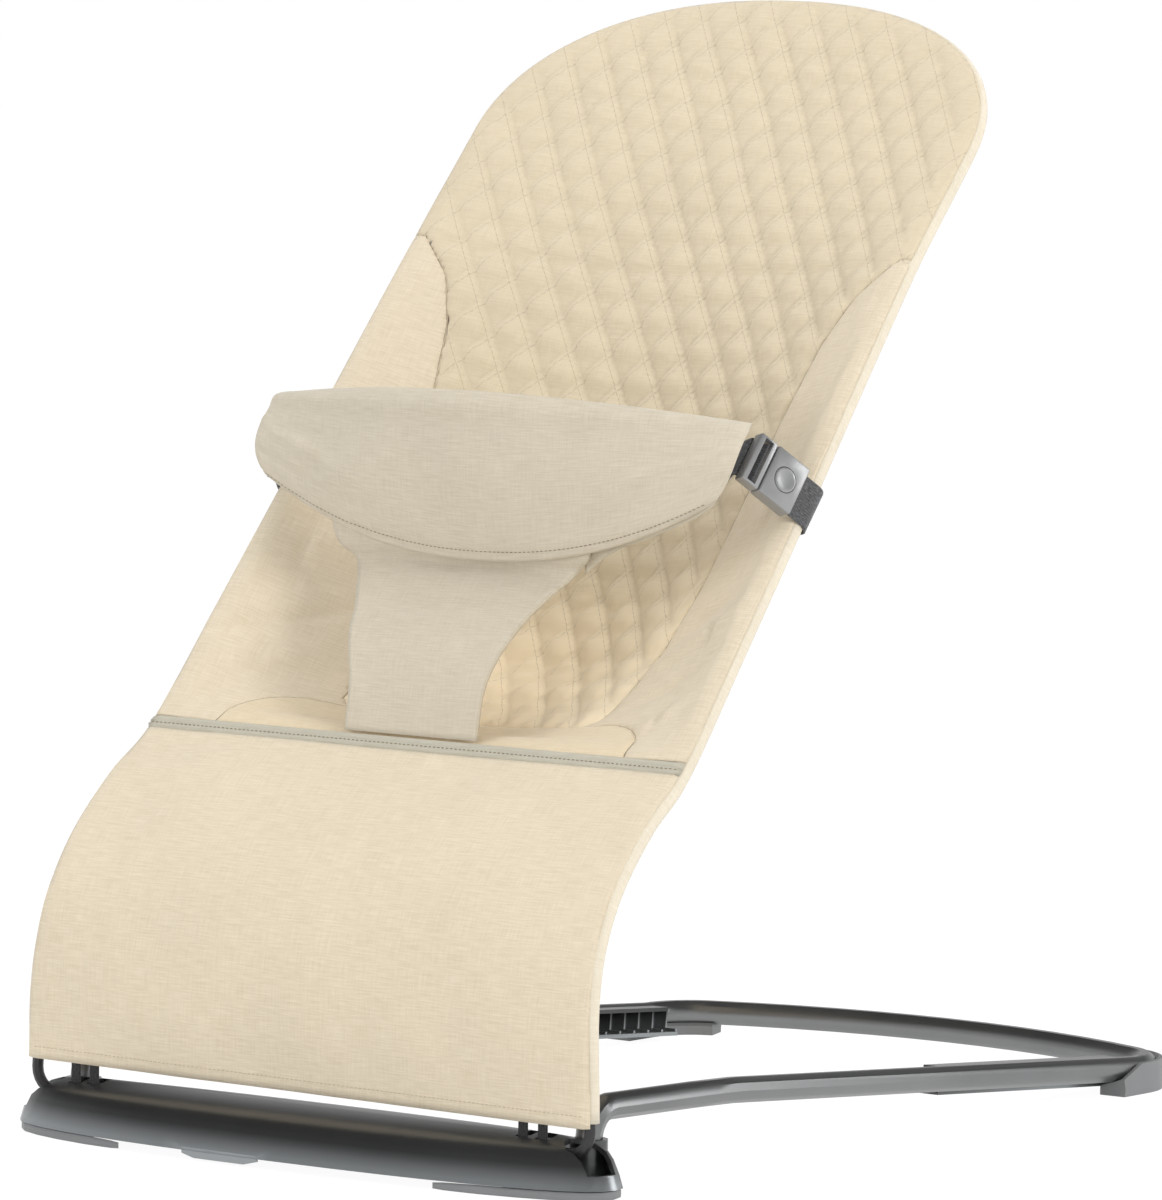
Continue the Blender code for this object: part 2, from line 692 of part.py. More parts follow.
def rear_foot(name, side):
    """A rubber shoe that hugs the outside of a rear corner and carries it."""
    centre = Vector((side * (ARM_X - REAR_CORNER_R), REAR_CORNER_Y, 0))
    inner_r = REAR_CORNER_R - 0.85 * TUBE_R
    outer_r = REAR_CORNER_R + TUBE_R + REAR_FOOT_WALL
    bm = bmesh.new()
    loops = []
    for k, deg in enumerate(np.linspace(-28, 72, 11)):
        t = math.radians(max(deg, 0.0))
        slide = centre + Vector((0, min(deg, 0.0) * 0.0009, 0))
        out = Vector((side * math.cos(t), math.sin(t), 0))
        full = 1.0 if k > 1 else (0.0, 0.5)[k]
        tall = REAR_Z - 0.003 + full * REAR_FOOT_TALL
        section = [(inner_r, 0.0), (outer_r, 0.0), (outer_r + 0.0006, 0.004),
                   (outer_r - 0.0004, tall), (outer_r - 0.0022, tall + 0.0004 * full),
                   (inner_r, 0.0052)]
        loops.append([bm.verts.new(slide + out * r + Vector((0, 0, z))) for r, z in section])
    for a, b in zip(loops, loops[1:]):
        for k in range(6):
            bm.faces.new((a[k], b[k], b[(k + 1) % 6], a[(k + 1) % 6]))
    bm.faces.new(loops[0])
    bm.faces.new(reversed(loops[-1]))
    bmesh.ops.recalc_face_normals(bm, faces=bm.faces)
    obj = mesh_object(name, bm, PART)
    seat = [(side * x, y, z) for x, y, z in base_half() if y > REAR_CORNER_Y - 0.061 and x > 0.03]
    cutter(name + "_seat", tube_mesh(seat, TUBE_R + GAP, 3), "DIFFERENCE", obj)
    return obj


def screw(name, place, direction, head_r, head, shank):
    """A pan head screw: its head stands off the place, and its shank goes in."""
    direction = Vector(direction).normalized()
    place = Vector(place)
    bm = cylinder_mesh(head_r, head, along(direction, place + direction * head / 2), 12,
                       head_r * 0.72)
    obj = mesh_object(name, bm, PART)
    stem = cylinder_mesh(SCREW_R, shank + head / 2,
                         along(direction, place + direction * (head / 2 - shank) / 2), 8)
    cutter(name + "_shank", stem, "UNION", obj)
    return obj


def bearing_block(name, side):
    """A block screwed up under the plate that carries the seat's cross bar."""
    x = side * BEARING_X
    front, back = (dy + s * BLOCK_FLANGE for dy, s in zip(BEARING_SCREW_Y, (-1, 1)))
    low, high = BLOCK_LOW_Z, HINGE_Z + WIRE_R - 0.0006
    base, neck = BLOCK_BASE_TOP_Z, BLOCK_NECK
    outline = [(front, low), (back, low), (back, base), (neck, base), (0.92 * neck, high),
               (-0.92 * neck, high), (-neck, base), (front, base)]
    bm = extrude([(x - BLOCK_LONG / 2, y, z) for y, z in outline], (BLOCK_LONG, 0, 0))
    obj = mesh_object(name, bm, PART)
    bore = cylinder_mesh(WIRE_R + RUN, 0.03, along((1, 0, 0), (x, 0, HINGE_Z)), 24)
    cutter(name + "_bore", bore, "DIFFERENCE", obj)
    for k, dy in enumerate(BEARING_SCREW_Y):
        hole = cylinder_mesh(SCREW_R + GAP, 0.02, Matrix.Translation((x, dy, low)), 12)
        cutter("%s_hole_%d" % (name, k), hole, "DIFFERENCE", obj)
    return obj


def frame_edge():
    """Stations from one end of the hem over the head to the other.

    Each is a place across, a place along the side, and the outward direction there.
    """
    half = [(SIDE.half(s), s, (1.0, 0.0)) for s in np.linspace(SIDE.at_z(HEM_Z), SIDE.arch, 21)]
    w = SIDE.half(SIDE.arch)
    for t in np.linspace(0, math.pi / 2, 11)[1:]:
        x = w * max(math.cos(t), 0.0) ** (2 / ARCH_ROUND)
        s = SIDE.arch + ARCH_HIGH * math.sin(t) ** (2 / ARCH_ROUND)
        nx = (x / w) ** (ARCH_ROUND - 1) / w
        ns = ((s - SIDE.arch) / ARCH_HIGH) ** (ARCH_ROUND - 1) / ARCH_HIGH
        size = math.hypot(nx, ns)
        half.append((x, s, (nx / size, ns / size)))
    other = [(-x, s, (-nx, ns)) for x, s, (nx, ns) in reversed(half[:-1])]
    return half + other


def frame_loop():
    """The centre line of the seat wire: the cross bar's corners, then round the head."""
    r = FRAME_CORNER_R
    corner = [(a, 0.0, b) for a, b in arc((SIDE.half(0.0) - r, HINGE_Z + r), -math.pi / 2, 0, r, 6)]
    rim = [tuple(SIDE.point(x, s)) for x, s, _ in frame_edge()]
    return corner + rim + [(-x, y, z) for x, y, z in reversed(corner)]


def edge_section(x, s, outward, radius, angles):
    """Points round the wire, from its front over its outer side to its back."""
    ty, tz = SIDE.tangent(min(s, SIDE.top - 0.001))
    centre = SIDE.point(x, s)
    out = Vector((outward[0], ty * outward[1], tz * outward[1]))
    back = Vector((0, tz, -ty))
    pts = []
    for deg in angles:
        t = math.radians(deg)
        pts.append(centre - back * (radius * math.cos(t)) + out * (radius * math.sin(t)))
    return pts


def frame_tunnel():
    """The sewn tunnel of the cover that holds the wire, open along its back."""
    radius = WIRE_R + TUNNEL_GAP + CLOTH / 2
    rows = []
    for x, s, outward in frame_edge():
        rows.append(edge_section(x, s, outward, radius, (-18, 28, 74, 120, 162, 200)))
    return sheet("frame_tunnel", rows, CLOTH)


def cloth_depth(x, s, front):
    """How far behind the frame the slung cloth lies."""
    t = s - BAND_S
    inner = SIDE.half(s) - EDGE_FLAT
    u = min(abs(x) / inner, 1.0)
    end = 1.0
    if s > QUILT_TOP_S:
        span = SIDE.arch_s(x) - QUILT_TOP_S
        end = 1 - min(max((s - QUILT_TOP_S) / max(span, 0.001), 0.0), 1.0) ** 3
    sag = float(np.interp(t, [p[0] for p in SAG], [p[1] for p in SAG]))
    return front + sag * (1 - u * u) * end


def leg_panel():
    """The flat cloth panel in front of the legs, hem to seam band."""
    edge = WIRE_R + TUNNEL_GAP + CLOTH / 2
    rows = []
    for s in np.linspace(SIDE.at_z(HEM_Z), BAND_S - BAND_HIGH / 2 - 0.0004, 13):
        half = SIDE.half(s) - EDGE_IN
        rows.append([SIDE.point(half * u, s, -edge) for u in np.linspace(-1, 1, 7)])
    return sheet("leg_panel", rows, CLOTH)


def seam_band():
    """The doubled strip sewn across the front of the seat."""
    edge = WIRE_R + TUNNEL_GAP + CLOTH / 2
    rows = []
    for s in (BAND_S - BAND_HIGH / 2, BAND_S, BAND_S + BAND_HIGH / 2):
        half = SIDE.half(s) - EDGE_IN
        rows.append([SIDE.point(half * u, s, -edge) for u in np.linspace(-1, 1, 9)])
    return sheet("seam_band", rows, CLOTH * 1.5)


def quilt_edge(s):
    """The half width of the quilted panel, up to where it takes the full width."""
    t = s - BAND_S
    return float(np.interp(t, [p[0] for p in QUILT_EDGE], [p[1] for p in QUILT_EDGE]))


def pocket_half(s):
    """The half width of the plain pocket front between the band and the quilt."""
    t = s - BAND_S
    return float(np.interp(t, [p[0] for p in POCKET_HALF], [p[1] for p in POCKET_HALF]))


def side_panel(name, side):
    """A plain cloth panel between the wire and the quilted panel."""
    front = -(WIRE_R + TUNNEL_GAP + CLOTH / 2)
    seam = BAND_S + POCKET_TALL
    low = BAND_S + BAND_HIGH / 2 + SEAM_GAP
    stations = [low + (seam - low) * k / 6 for k in range(7)]
    stations += list(np.linspace(seam + SEAM_GAP, QUILT_TOP_S - 0.004, 18))
    rows = []
    for s in stations:
        outer = SIDE.half(s) - EDGE_IN
        edge = pocket_half(s) if s <= seam else SIDE.half(s) * quilt_edge(s)
        inner = min(edge + SEAM_GAP, outer - 0.0015)
        xs = [inner + (outer - inner) * k / 5 for k in range(6)]
        rows.append([SIDE.point(side * x, s, cloth_depth(x, s, front)) for x in xs])
    return sheet(name, rows, CLOTH)


def pocket_front():
    """The plain cloth that closes the seat's pocket above the band."""
    front = -(WIRE_R + TUNNEL_GAP + CLOTH / 2)
    low = BAND_S + BAND_HIGH / 2 + SEAM_GAP
    rows = []
    for s in np.linspace(low, BAND_S + POCKET_TALL, 8):
        half = pocket_half(s)
        rows.append([SIDE.point(half * q, s, cloth_depth(half * q, s, front))
                     for q in np.linspace(-1, 1, 19)])
    return sheet("pocket_front", rows, CLOTH)


def quilted_panel():
    """The padded centre and head panel, with its diamond channels."""
    front = -(WIRE_R + TUNNEL_GAP + QUILT / 2)
    columns = 23
    rows = []
    low = BAND_S + POCKET_TALL + SEAM_GAP
    for s in np.linspace(low, QUILT_TOP_S, 15):
        half = min(SIDE.half(s) * quilt_edge(s), SIDE.half(s) - EDGE_IN)
        rows.append([SIDE.point(half * q, s, cloth_depth(half * q, s, front))
                     for q in np.linspace(-1, 1, columns)])
    fan = [math.sin(0.5 * math.pi * q * 0.6) / math.sin(0.3 * math.pi)
           for q in np.linspace(-1, 1, columns)]
    for k in range(1, 10):
        row = []
        for m, q in enumerate(np.linspace(-1, 1, columns)):
            mix = k / 9
            x = (SIDE.half(QUILT_TOP_S) - EDGE_IN) * (q * (1 - mix) + fan[m] * mix)
            top = SIDE.arch_s(x, EDGE_IN + 0.0004)
            s = QUILT_TOP_S + (max(top, SIDE.arch - 0.001) - QUILT_TOP_S) * mix
            row.append(SIDE.point(x, s, cloth_depth(x, s, front)))
        rows.append(row)
    return sheet("quilted_panel", rows, QUILT, diamond=DIAMOND_CROWN)


def hem_strap(name, x):
    """A black elastic loop round the cross bar, sewn behind the hem."""
    turn = along((1, 0, 0), (x, 0, HINGE_Z))
    obj = mesh_object(name, cylinder_mesh(WIRE_R + RUN + ELASTIC, HEM_STRAP_WIDE, turn, 14), PART)
    behind = SIDE.point(x, SIDE.at_z(HEM_Z), CLOTH - (WIRE_R + TUNNEL_GAP + CLOTH / 2) + GAP).y
    low, high = HINGE_Z + 0.7 * WIRE_R, HEM_Z + 0.011
    strand = box_mesh((HEM_STRAP_WIDE, CLOTH, high - low),
                      Matrix.Translation((x, behind, (low + high) / 2)))
    cutter(name + "_strand", strand, "UNION", obj)
    cutter(name + "_bore", cylinder_mesh(WIRE_R + RUN, 0.02, turn, 14), "DIFFERENCE", obj)
    return obj


def bow_pivot():
    """The hinge of the support bow, just behind the side wires."""
    return SIDE.point(0.0, SIDE.at_z(BOW_PIVOT_Z), BOW_BEHIND)


def bow_foot():
    """Where the bow's cross bar lies when it stands on the rack shelves."""
    start, run, up, inward = rack_frame(1)
    spot = start + run * (rack_rib_at(BOW_POCKET) + RACK_PITCH / 2)
    spot += up * (-RACK_HIGH / 2 + RACK_WALL + PEG_R + 0.0005)
    return Vector((0, spot.y, spot.z))


def bow_length():
    return (bow_foot() - bow_pivot()).length


def bow_half():
    """Half of the bow's width at its hinge and at its foot."""
    top = SIDE.half(SIDE.at_z(BOW_PIVOT_Z)) - BOW_IN
    return top, top - BOW_TAPER


def bow_direction():
    """Up behind the seat, as the bow lies when it is folded away."""
    end = SIDE.point(0.0, SIDE.at_z(BOW_PIVOT_Z) + bow_length(), BOW_END_BEHIND)
    return (end - bow_pivot()).normalized()


def support_bow():
    """The steel bow, folded up behind the seat, its ends turned out into the brackets."""
    pivot = bow_pivot()
    run = bow_direction()
    long = bow_length()
    r, bend = BOW_CORNER_R, BOW_END_BEND
    half_top, half_foot = bow_half()
    lean = BOW_TAPER / long
    flat = [(half_top + BOW_END_LONG, 0.0)]
    flat += arc((half_top + bend, bend), -math.pi / 2, -math.pi, bend, 4)
    flat.append((half_top - lean * (long - r), long - r))
    flat += arc((half_foot - r, long - r), 0, math.pi / 2, r, 6)[1:]
    half = [pivot + run * b + Vector((a, 0, 0)) for a, b in flat]
    other = [Vector((-p.x, p.y, p.z)) for p in reversed(half)]
    return tube("support_bow", half + other, BOW_R, resolution=2)


def bow_shoe(name, side):
    """A plastic shoe on the bow's corner: its peg stands out over the rack's shelf."""
    pivot = bow_pivot()
    run = bow_direction()
    long = bow_length()
    outer = ARM_X - TUBE_R - GAP - RACK_DEEP - 0.0006
    foot = pivot + run * long
    centre = (side * (outer - PEG_LONG / 2), foot.y, foot.z)
    obj = mesh_object(name, cylinder_mesh(PEG_R, PEG_LONG, along((1, 0, 0), centre), 16), PART)
    bevel(obj, 0.0006, 1)
    r = BOW_CORNER_R
    half_foot = bow_half()[1]
    back = 3 * r
    flat = [(half_foot + BOW_TAPER / long * back, long - r - back)]
    flat += arc((half_foot - r, long - r), 0, math.pi / 2, r, 6)
    flat.append((outer - 2 * PEG_LONG, long))
    path = [pivot + run * b + Vector((side * a, 0, 0)) for a, b in flat]
    cutter(name + "_bore", tube_mesh(path, BOW_R + GAP, 2), "DIFFERENCE", obj)
    return obj


def bow_bracket(name, side):
    """A bent steel tab on the side wire, with the hole for the bow's end."""
    s = SIDE.at_z(BOW_PIVOT_Z)
    half = SIDE.half(s)
    ty, tz = SIDE.tangent(s)
    run = Vector((0, ty, tz))
    inner = bow_half()[0] + BOW_R + 2 * GAP
    wall, front = BRACKET_WALL, BRACKET_FRONT
    end, far = half - WIRE_R + 0.0004, BOW_BEHIND + BRACKET_PAST
    outline = [(end, front), (end, front + wall), (inner + wall, front + wall), (inner + wall, far),
               (inner, far), (inner, front)]
    bm = extrude([SIDE.point(side * x, s, d) - run * (BRACKET_LONG / 2) for x, d in outline],
                 run * BRACKET_LONG)
    obj = mesh_object(name, bm, PART)
    wire = cylinder_mesh(WIRE_R + GAP, 0.05, along(run, SIDE.point(side * half, s)), 20)
    cutter(name + "_wire", wire, "DIFFERENCE", obj)
    pivot = bow_pivot()
    centre = (side * inner, pivot.y, pivot.z)
    bore = cylinder_mesh(BOW_R + RUN, 0.02, along((1, 0, 0), centre), 20)
    cutter(name + "_bore", bore, "DIFFERENCE", obj)
    return obj


class BuckleAxes:
    """Local axes of a buckle: a away from the wire, b up along it, c out of its face."""

    def __init__(self, side):
        s = SIDE.at_z(BUCKLE_Z)
        ty, tz = SIDE.tangent(s)
        out = Vector((0, -tz, ty))
        cos, sin = math.cos(BUCKLE_TILT), math.sin(BUCKLE_TILT)
        self.side = side
        self.a = Vector((-side * sin, 0, 0)) + out * cos
        self.b = Vector((0, ty, tz))
        self.c = Vector((side * cos, 0, 0)) + out * sin
        wire = SIDE.point(side * SIDE.half(s), s)
        self.origin = wire + self.c * STRAP_WRAP_R

    def point(self, a, b, c):
        return self.origin + self.a * a + self.b * b + self.c * c

    def box(self, low, high):
        mid = [(p + q) / 2 for p, q in zip(low, high)]
        size = [q - p for p, q in zip(low, high)]
        turn = Matrix((self.a, self.b, self.c)).transposed().to_4x4()
        if turn.determinant() < 0:
            turn = turn @ Matrix.Diagonal((1, 1, -1, 1))
        return box_mesh(size, Matrix.Translation(self.point(*mid)) @ turn)

    def disc(self, radius, a, c_low, c_high, sides=28, radius2=None):
        place = self.point(a, 0, (c_low + c_high) / 2)
        return cylinder_mesh(radius, c_high - c_low, along(self.c, place), sides, radius2)


def buckle_body(name, axes):
    """The buckle's housing on the side strap, with the button's well and a mouth."""
    a0, a1 = BODY_START, BODY_START + BODY_LONG
    half, thick = BODY_WIDE / 2, BODY_THICK / 2
    obj = mesh_object(name, axes.box((a0, -half, -thick), (a1, half, thick)), PART)
    bevel(obj, 0.0011, 2)
    floor = thick + BUTTON_PROUD - BUTTON_THICK - BUTTON_TRAVEL - WELL_ROOM
    well = axes.disc(BUTTON_R + RUN, (a0 + a1) / 2, floor, thick + 0.002)
    cutter(name + "_well", well, "DIFFERENCE", obj)
    mouth = axes.box((a1 - MOUTH_DEEP, -MOUTH_HALF, -MOUTH_THICK / 2),
                     (a1 + 0.004, MOUTH_HALF, MOUTH_THICK / 2))
    cutter(name + "_mouth", mouth, "DIFFERENCE", obj)
    return obj


def buckle_button(name, axes):
    """The round push button, slightly dished, with a chamfered edge."""
    mid = BODY_START + BODY_LONG / 2
    top = BODY_THICK / 2 + BUTTON_PROUD
    bm = axes.disc(BUTTON_R, mid, top - BUTTON_THICK, top)
    obj = mesh_object(name, bm, PART)
    bevel(obj, 0.0006, 2)
    dish = bmesh.new()
    bmesh.ops.create_uvsphere(dish, u_segments=16, v_segments=24, radius=DISH_R)
    centre = axes.point(mid, 0, top + DISH_R - BUTTON_DISH)
    bmesh.ops.transform(dish, matrix=along(axes.c, centre), verts=dish.verts)
    cutter(name + "_dish", dish, "DIFFERENCE", obj)
    return obj


def buckle_tongue(name, axes):
    """The adjuster frame on the flap's webbing and its tongue in the housing."""
    a0 = BODY_START + BODY_LONG + 0.0004
    a1 = a0 + ADJUSTER_LONG
    half, thick, rail = BODY_WIDE / 2, ADJUSTER_HALF_THICK, ADJUSTER_RAIL
    obj = mesh_object(name, axes.box((a0, -half, -thick), (a1, half, thick)), PART)
    bevel(obj, 0.0010, 2)
    open_half = STRAP_WIDE / 2 + 0.0006
    window = axes.box((a0 + rail, -open_half, -0.01), (a1 - rail, open_half, 0.01))
    cutter(name + "_window", window, "DIFFERENCE", obj)
    tongue = axes.box((a0 - TONGUE_LONG, -TONGUE_HALF, TONGUE_FRONT - TONGUE_THICK),
                      (a0 + rail / 3, TONGUE_HALF, TONGUE_FRONT))
    cutter(name + "_tongue", tongue, "UNION", obj)
    return obj


def ribbon(name, path, half_wide, thickness):
    """Webbing: a path of points, each with the direction of its width."""
    rows = [[p - across * half_wide, p + across * half_wide] for p, across in path]
    return sheet(name, rows, thickness)


def side_strap(name, axes):
    """Webbing sewn round the seat's edge that holds the buckle's housing."""
    s = SIDE.at_z(BUCKLE_Z)
    wire = SIDE.point(axes.side * SIDE.half(s), s)
    path = [axes.point(BODY_START - GAP, 0, 0), axes.point(0.004, 0, 0)]
    for deg in np.linspace(0, 168, 9):
        t = math.radians(deg)
        path.append(wire + axes.c * (STRAP_WRAP_R * math.cos(t))
                    - axes.a * (STRAP_WRAP_R * math.sin(t)))
    return ribbon(name, [(p, axes.b) for p in path], STRAP_WIDE / 2, WEB)


def flap_point(u, v):
    """The flap's middle surface: u from side to side, v from lower edge to fold."""
    x = FLAP_HALF * u
    top = Vector((x, FLAP_TOP_Y + FLAP_TOP_BACK * u * u, FLAP_TOP_Z - FLAP_TOP_DROP * u * u))
    low = Vector((x, FLAP_LOW_Y + FLAP_LOW_BACK * u * u,
                  FLAP_LOW_Z + FLAP_LOW_RISE * abs(u) ** FLAP_LOW_ROUND))
    place = low.lerp(top, v)
    place.y -= FLAP_BULGE * math.sin(math.pi * v) * (1 - u * u)
    return place


def flap_inner(u, v, depth):
    """A point behind the flap, on the sitter's side."""
    du = flap_point(u + 0.01, v) - flap_point(u - 0.01, v)
    dv = flap_point(u, v + 0.01) - flap_point(u, v - 0.01)
    normal = du.cross(dv).normalized()
    if normal.y < 0:
        normal = -normal
    return flap_point(u, v) + normal * depth


def restraint_flap():
    rows = [[flap_point(u, v) for u in np.linspace(-1, 1, 19)] for v in np.linspace(0, 1, 8)]
    return sheet("restraint_flap", rows, FLAP_THICK)


def crotch_strap():
    """The strap between the legs: it widens, leans and runs up behind the flap."""
    low_s = BAND_S + BAND_HIGH / 2 + CROTCH_THICK / 2 + GAP
    across = np.linspace(-1, 1, 7)
    rows = [[SIDE.point(CROTCH_LOW_SHIFT + CROTCH_LOW_HALF * u, low_s, -CROTCH_FRONT)
             for u in across]]
    rows += [[Vector((shift + half * u, y, z)) for u in across] for y, z, half, shift in CROTCH]
    behind = FLAP_THICK / 2 + GAP + CROTCH_THICK / 2
    for v, more in ((-0.07, 0.0008), (0.04, 0.0003), (0.18, 0.0), (0.34, 0.0)):
        rows.append([flap_inner((CROTCH_TOP_SHIFT + CROTCH_TOP_HALF * u) / FLAP_HALF, v,
                                behind + more) for u in across])
    return sheet("crotch_strap", rows, CROTCH_THICK)


def flap_webbing(name, axes):
    """Webbing from the adjuster's bar to the inner side of the flap's end."""
    a0 = BODY_START + BODY_LONG + 0.0004
    side = axes.side
    path = [(axes.point(a0 + a, 0, c), axes.b) for a, c in WEBBING_LOOSE]
    for u, more in WEBBING_SEWN:
        up = (flap_point(side * u, 0.6) - flap_point(side * u, 0.3)).normalized()
        behind = FLAP_THICK / 2 + WEB / 2 + more
        path.append((flap_inner(side * u, WEBBING_V, behind), up))
    return ribbon(name, path, STRAP_WIDE / 2 - 0.0005, WEB)


for old in list(bpy.data.objects):
    bpy.data.objects.remove(old)

PART = collection(NAME)
CUTTERS = collection(NAME + "_cutters")
SIDE = SeatSide(SEAT_SIDE)
BAND_S = SIDE.at_z(BAND_Z)
QUILT_TOP_S = SIDE.at_z(QUILT_TOP_Z)
STRAP_WRAP_R = WIRE_R + TUNNEL_GAP + CLOTH + 2 * GAP + WEB / 2

PLASTIC = ((0.045, 0.048, 0.050), 0.45)
RUBBER = ((0.03, 0.03, 0.032), 0.8)
STEEL = ((0.07, 0.073, 0.076), 0.35, 0.6)
SCREW = ((0.25, 0.25, 0.26), 0.35, 0.9)
CREAM = ((0.80, 0.70, 0.50), 0.85)
QUILTED = ((0.76, 0.66, 0.45), 0.85)
BAND = ((0.66, 0.60, 0.46), 0.85)
FLAP = ((0.72, 0.66, 0.53), 0.85)
BLACK = ((0.02, 0.02, 0.022), 0.7)
GREY = ((0.13, 0.13, 0.135), 0.4)

WHOLE = empty("bouncer_origin", (0, 0, 0))
seat_axis = empty("seat_axis", (0, 0, HINGE_Z), WHOLE)
bow_axis = empty("bow_axis", tuple(bow_pivot()), seat_axis)
fold_spot = SIDE.point(0.0, BAND_S + BAND_HIGH / 2 + 0.0010, -0.0062)
fold_axis = empty("restraint_axis", tuple(fold_spot), seat_axis)

finish(front_plate(), PLASTIC, WHOLE)
finish(base_tube(), STEEL, WHOLE)
finish(tube("seat_frame", frame_loop(), WIRE_R, closed=True, resolution=2), STEEL, seat_axis)
finish(frame_tunnel(), CREAM, seat_axis)
finish(leg_panel(), CREAM, seat_axis)
finish(seam_band(), BAND, seat_axis)
finish(quilted_panel(), QUILTED, seat_axis)
finish(pocket_front(), CREAM, seat_axis)
finish(support_bow(), STEEL, bow_axis)
finish(restraint_flap(), FLAP, fold_axis)
finish(crotch_strap(), FLAP, fold_axis)
for word, sign in (("left", -1), ("right", 1)):
    finish(front_foot("front_foot_" + word, sign), RUBBER, WHOLE)
    finish(height_rack("height_rack_" + word, sign), PLASTIC, WHOLE)
    finish(rear_foot("rear_foot_" + word, sign), RUBBER, WHOLE)
    finish(bearing_block("hinge_bearing_" + word, sign), GREY, WHOLE)
    finish(screw("socket_screw_" + word, (sign * ARM_X, SOCKET_Y, SOCKET_LOW_Z - GAP), (0, 0, -1),
                 SCREW_HEAD_R + 0.0004, 0.0014, 0.0032), SCREW, WHOLE)
    for spot, y in zip(("front", "rear"), BEARING_SCREW_Y):
        finish(screw("bearing_screw_%s_%s" % (word, spot), (sign * BEARING_X, y, BLOCK_LOW_Z - GAP),
                     (0, 0, -1), SCREW_HEAD_R, 0.0016, 0.0095), SCREW, WHOLE)
    for spot, k in zip(("front", "rear"), RACK_SCREWS):
        place = rack_screw_place(sign, k) + Vector((-sign * GAP, 0, 0))
        finish(screw("rack_screw_%s_%s" % (word, spot), place, (-sign, 0, 0), SCREW_HEAD_R,
                     0.0013, RACK_WALL), SCREW, WHOLE)
    for spot, x in zip(("inner", "outer"), HEM_STRAP_X):
        finish(hem_strap("hem_strap_%s_%s" % (word, spot), sign * x), BLACK, seat_axis)
    finish(side_panel("side_panel_" + word, sign), CREAM, seat_axis)
    finish(bow_bracket("bow_bracket_" + word, sign), STEEL, seat_axis)
    finish(bow_shoe("bow_shoe_" + word, sign), RUBBER, bow_axis)
    axes = BuckleAxes(sign)
    button_axis = empty("button_axis_" + word, tuple(axes.point(BODY_START + BODY_LONG / 2, 0, 0)),
                        seat_axis)
    finish(side_strap("side_strap_" + word, axes), BLACK, seat_axis)
    finish(buckle_body("buckle_body_" + word, axes), GREY, seat_axis)
    finish(buckle_button("buckle_button_" + word, axes), GREY, button_axis)
    finish(buckle_tongue("buckle_tongue_" + word, axes), GREY, fold_axis)
    finish(flap_webbing("flap_webbing_" + word, axes), BLACK, fold_axis)

# The origin goes to the bottom centre of the whole
bpy.context.view_layer.update()
corners = [obj.matrix_world @ Vector(c) for obj in PART.objects if obj.type != "EMPTY"
           for c in obj.bound_box]
middle_y = (min(c.y for c in corners) + max(c.y for c in corners)) / 2
WHOLE.location = (0, -middle_y, 0)
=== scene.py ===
# %% [markdown]
# A baby bouncer in a cream sling cover, on a dark floor base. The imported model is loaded
# first and stays as it is: it fixes every size, body and joint. The cells below dress it.
# Hard parts keep their modelled shape and get better materials. Every piece of cloth is
# built again here, because a plain solid can't show quilting, seams and folds.

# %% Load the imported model
import json
import math

import bmesh
import bpy
import numpy as np
from mathutils import Matrix, Vector, noise
from mathutils.bvhtree import BVHTree


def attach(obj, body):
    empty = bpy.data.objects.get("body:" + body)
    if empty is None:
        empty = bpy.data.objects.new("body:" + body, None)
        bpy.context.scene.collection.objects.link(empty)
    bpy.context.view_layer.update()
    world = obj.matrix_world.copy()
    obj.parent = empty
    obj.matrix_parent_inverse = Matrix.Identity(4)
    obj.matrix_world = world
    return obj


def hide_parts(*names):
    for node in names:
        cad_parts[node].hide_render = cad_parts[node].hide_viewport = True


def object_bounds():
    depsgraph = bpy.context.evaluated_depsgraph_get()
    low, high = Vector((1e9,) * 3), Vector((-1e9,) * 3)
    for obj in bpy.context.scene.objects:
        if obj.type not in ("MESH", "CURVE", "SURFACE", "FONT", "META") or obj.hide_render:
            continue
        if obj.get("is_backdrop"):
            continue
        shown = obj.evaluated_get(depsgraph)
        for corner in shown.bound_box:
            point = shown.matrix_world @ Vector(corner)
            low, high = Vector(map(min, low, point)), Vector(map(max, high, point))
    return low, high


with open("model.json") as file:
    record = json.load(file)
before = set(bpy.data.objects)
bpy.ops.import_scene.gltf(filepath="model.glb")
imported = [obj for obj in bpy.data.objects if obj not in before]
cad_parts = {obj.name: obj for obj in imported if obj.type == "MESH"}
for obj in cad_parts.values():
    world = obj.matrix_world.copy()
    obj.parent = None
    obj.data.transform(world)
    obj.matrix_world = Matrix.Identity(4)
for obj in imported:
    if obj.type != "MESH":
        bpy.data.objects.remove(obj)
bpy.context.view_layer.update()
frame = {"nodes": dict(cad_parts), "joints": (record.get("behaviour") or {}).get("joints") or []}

# %% [markdown]
# The camera stands low and to the front, on the sitter's left, and far away: the seat's
# two edges hardly come together, so the lens is long. Its turn is written as three
# directions, which leaves no doubt about the small roll.

# %% Camera
AIM = Vector((0.0019, -0.0529, 0.2793))
AZIMUTH, ELEVATION, ROLL = math.radians(36.5), math.radians(4.9), math.radians(0.9)
CAMERA_FAR, LENS, SENSOR, CLIP_FAR = 4.9685, 279.0, 36.0, 50.0


def shown_object(name, data):
    """A new object, linked into the scene."""
    made = bpy.data.objects.new(name, data)
    bpy.context.scene.collection.objects.link(made)
    return made


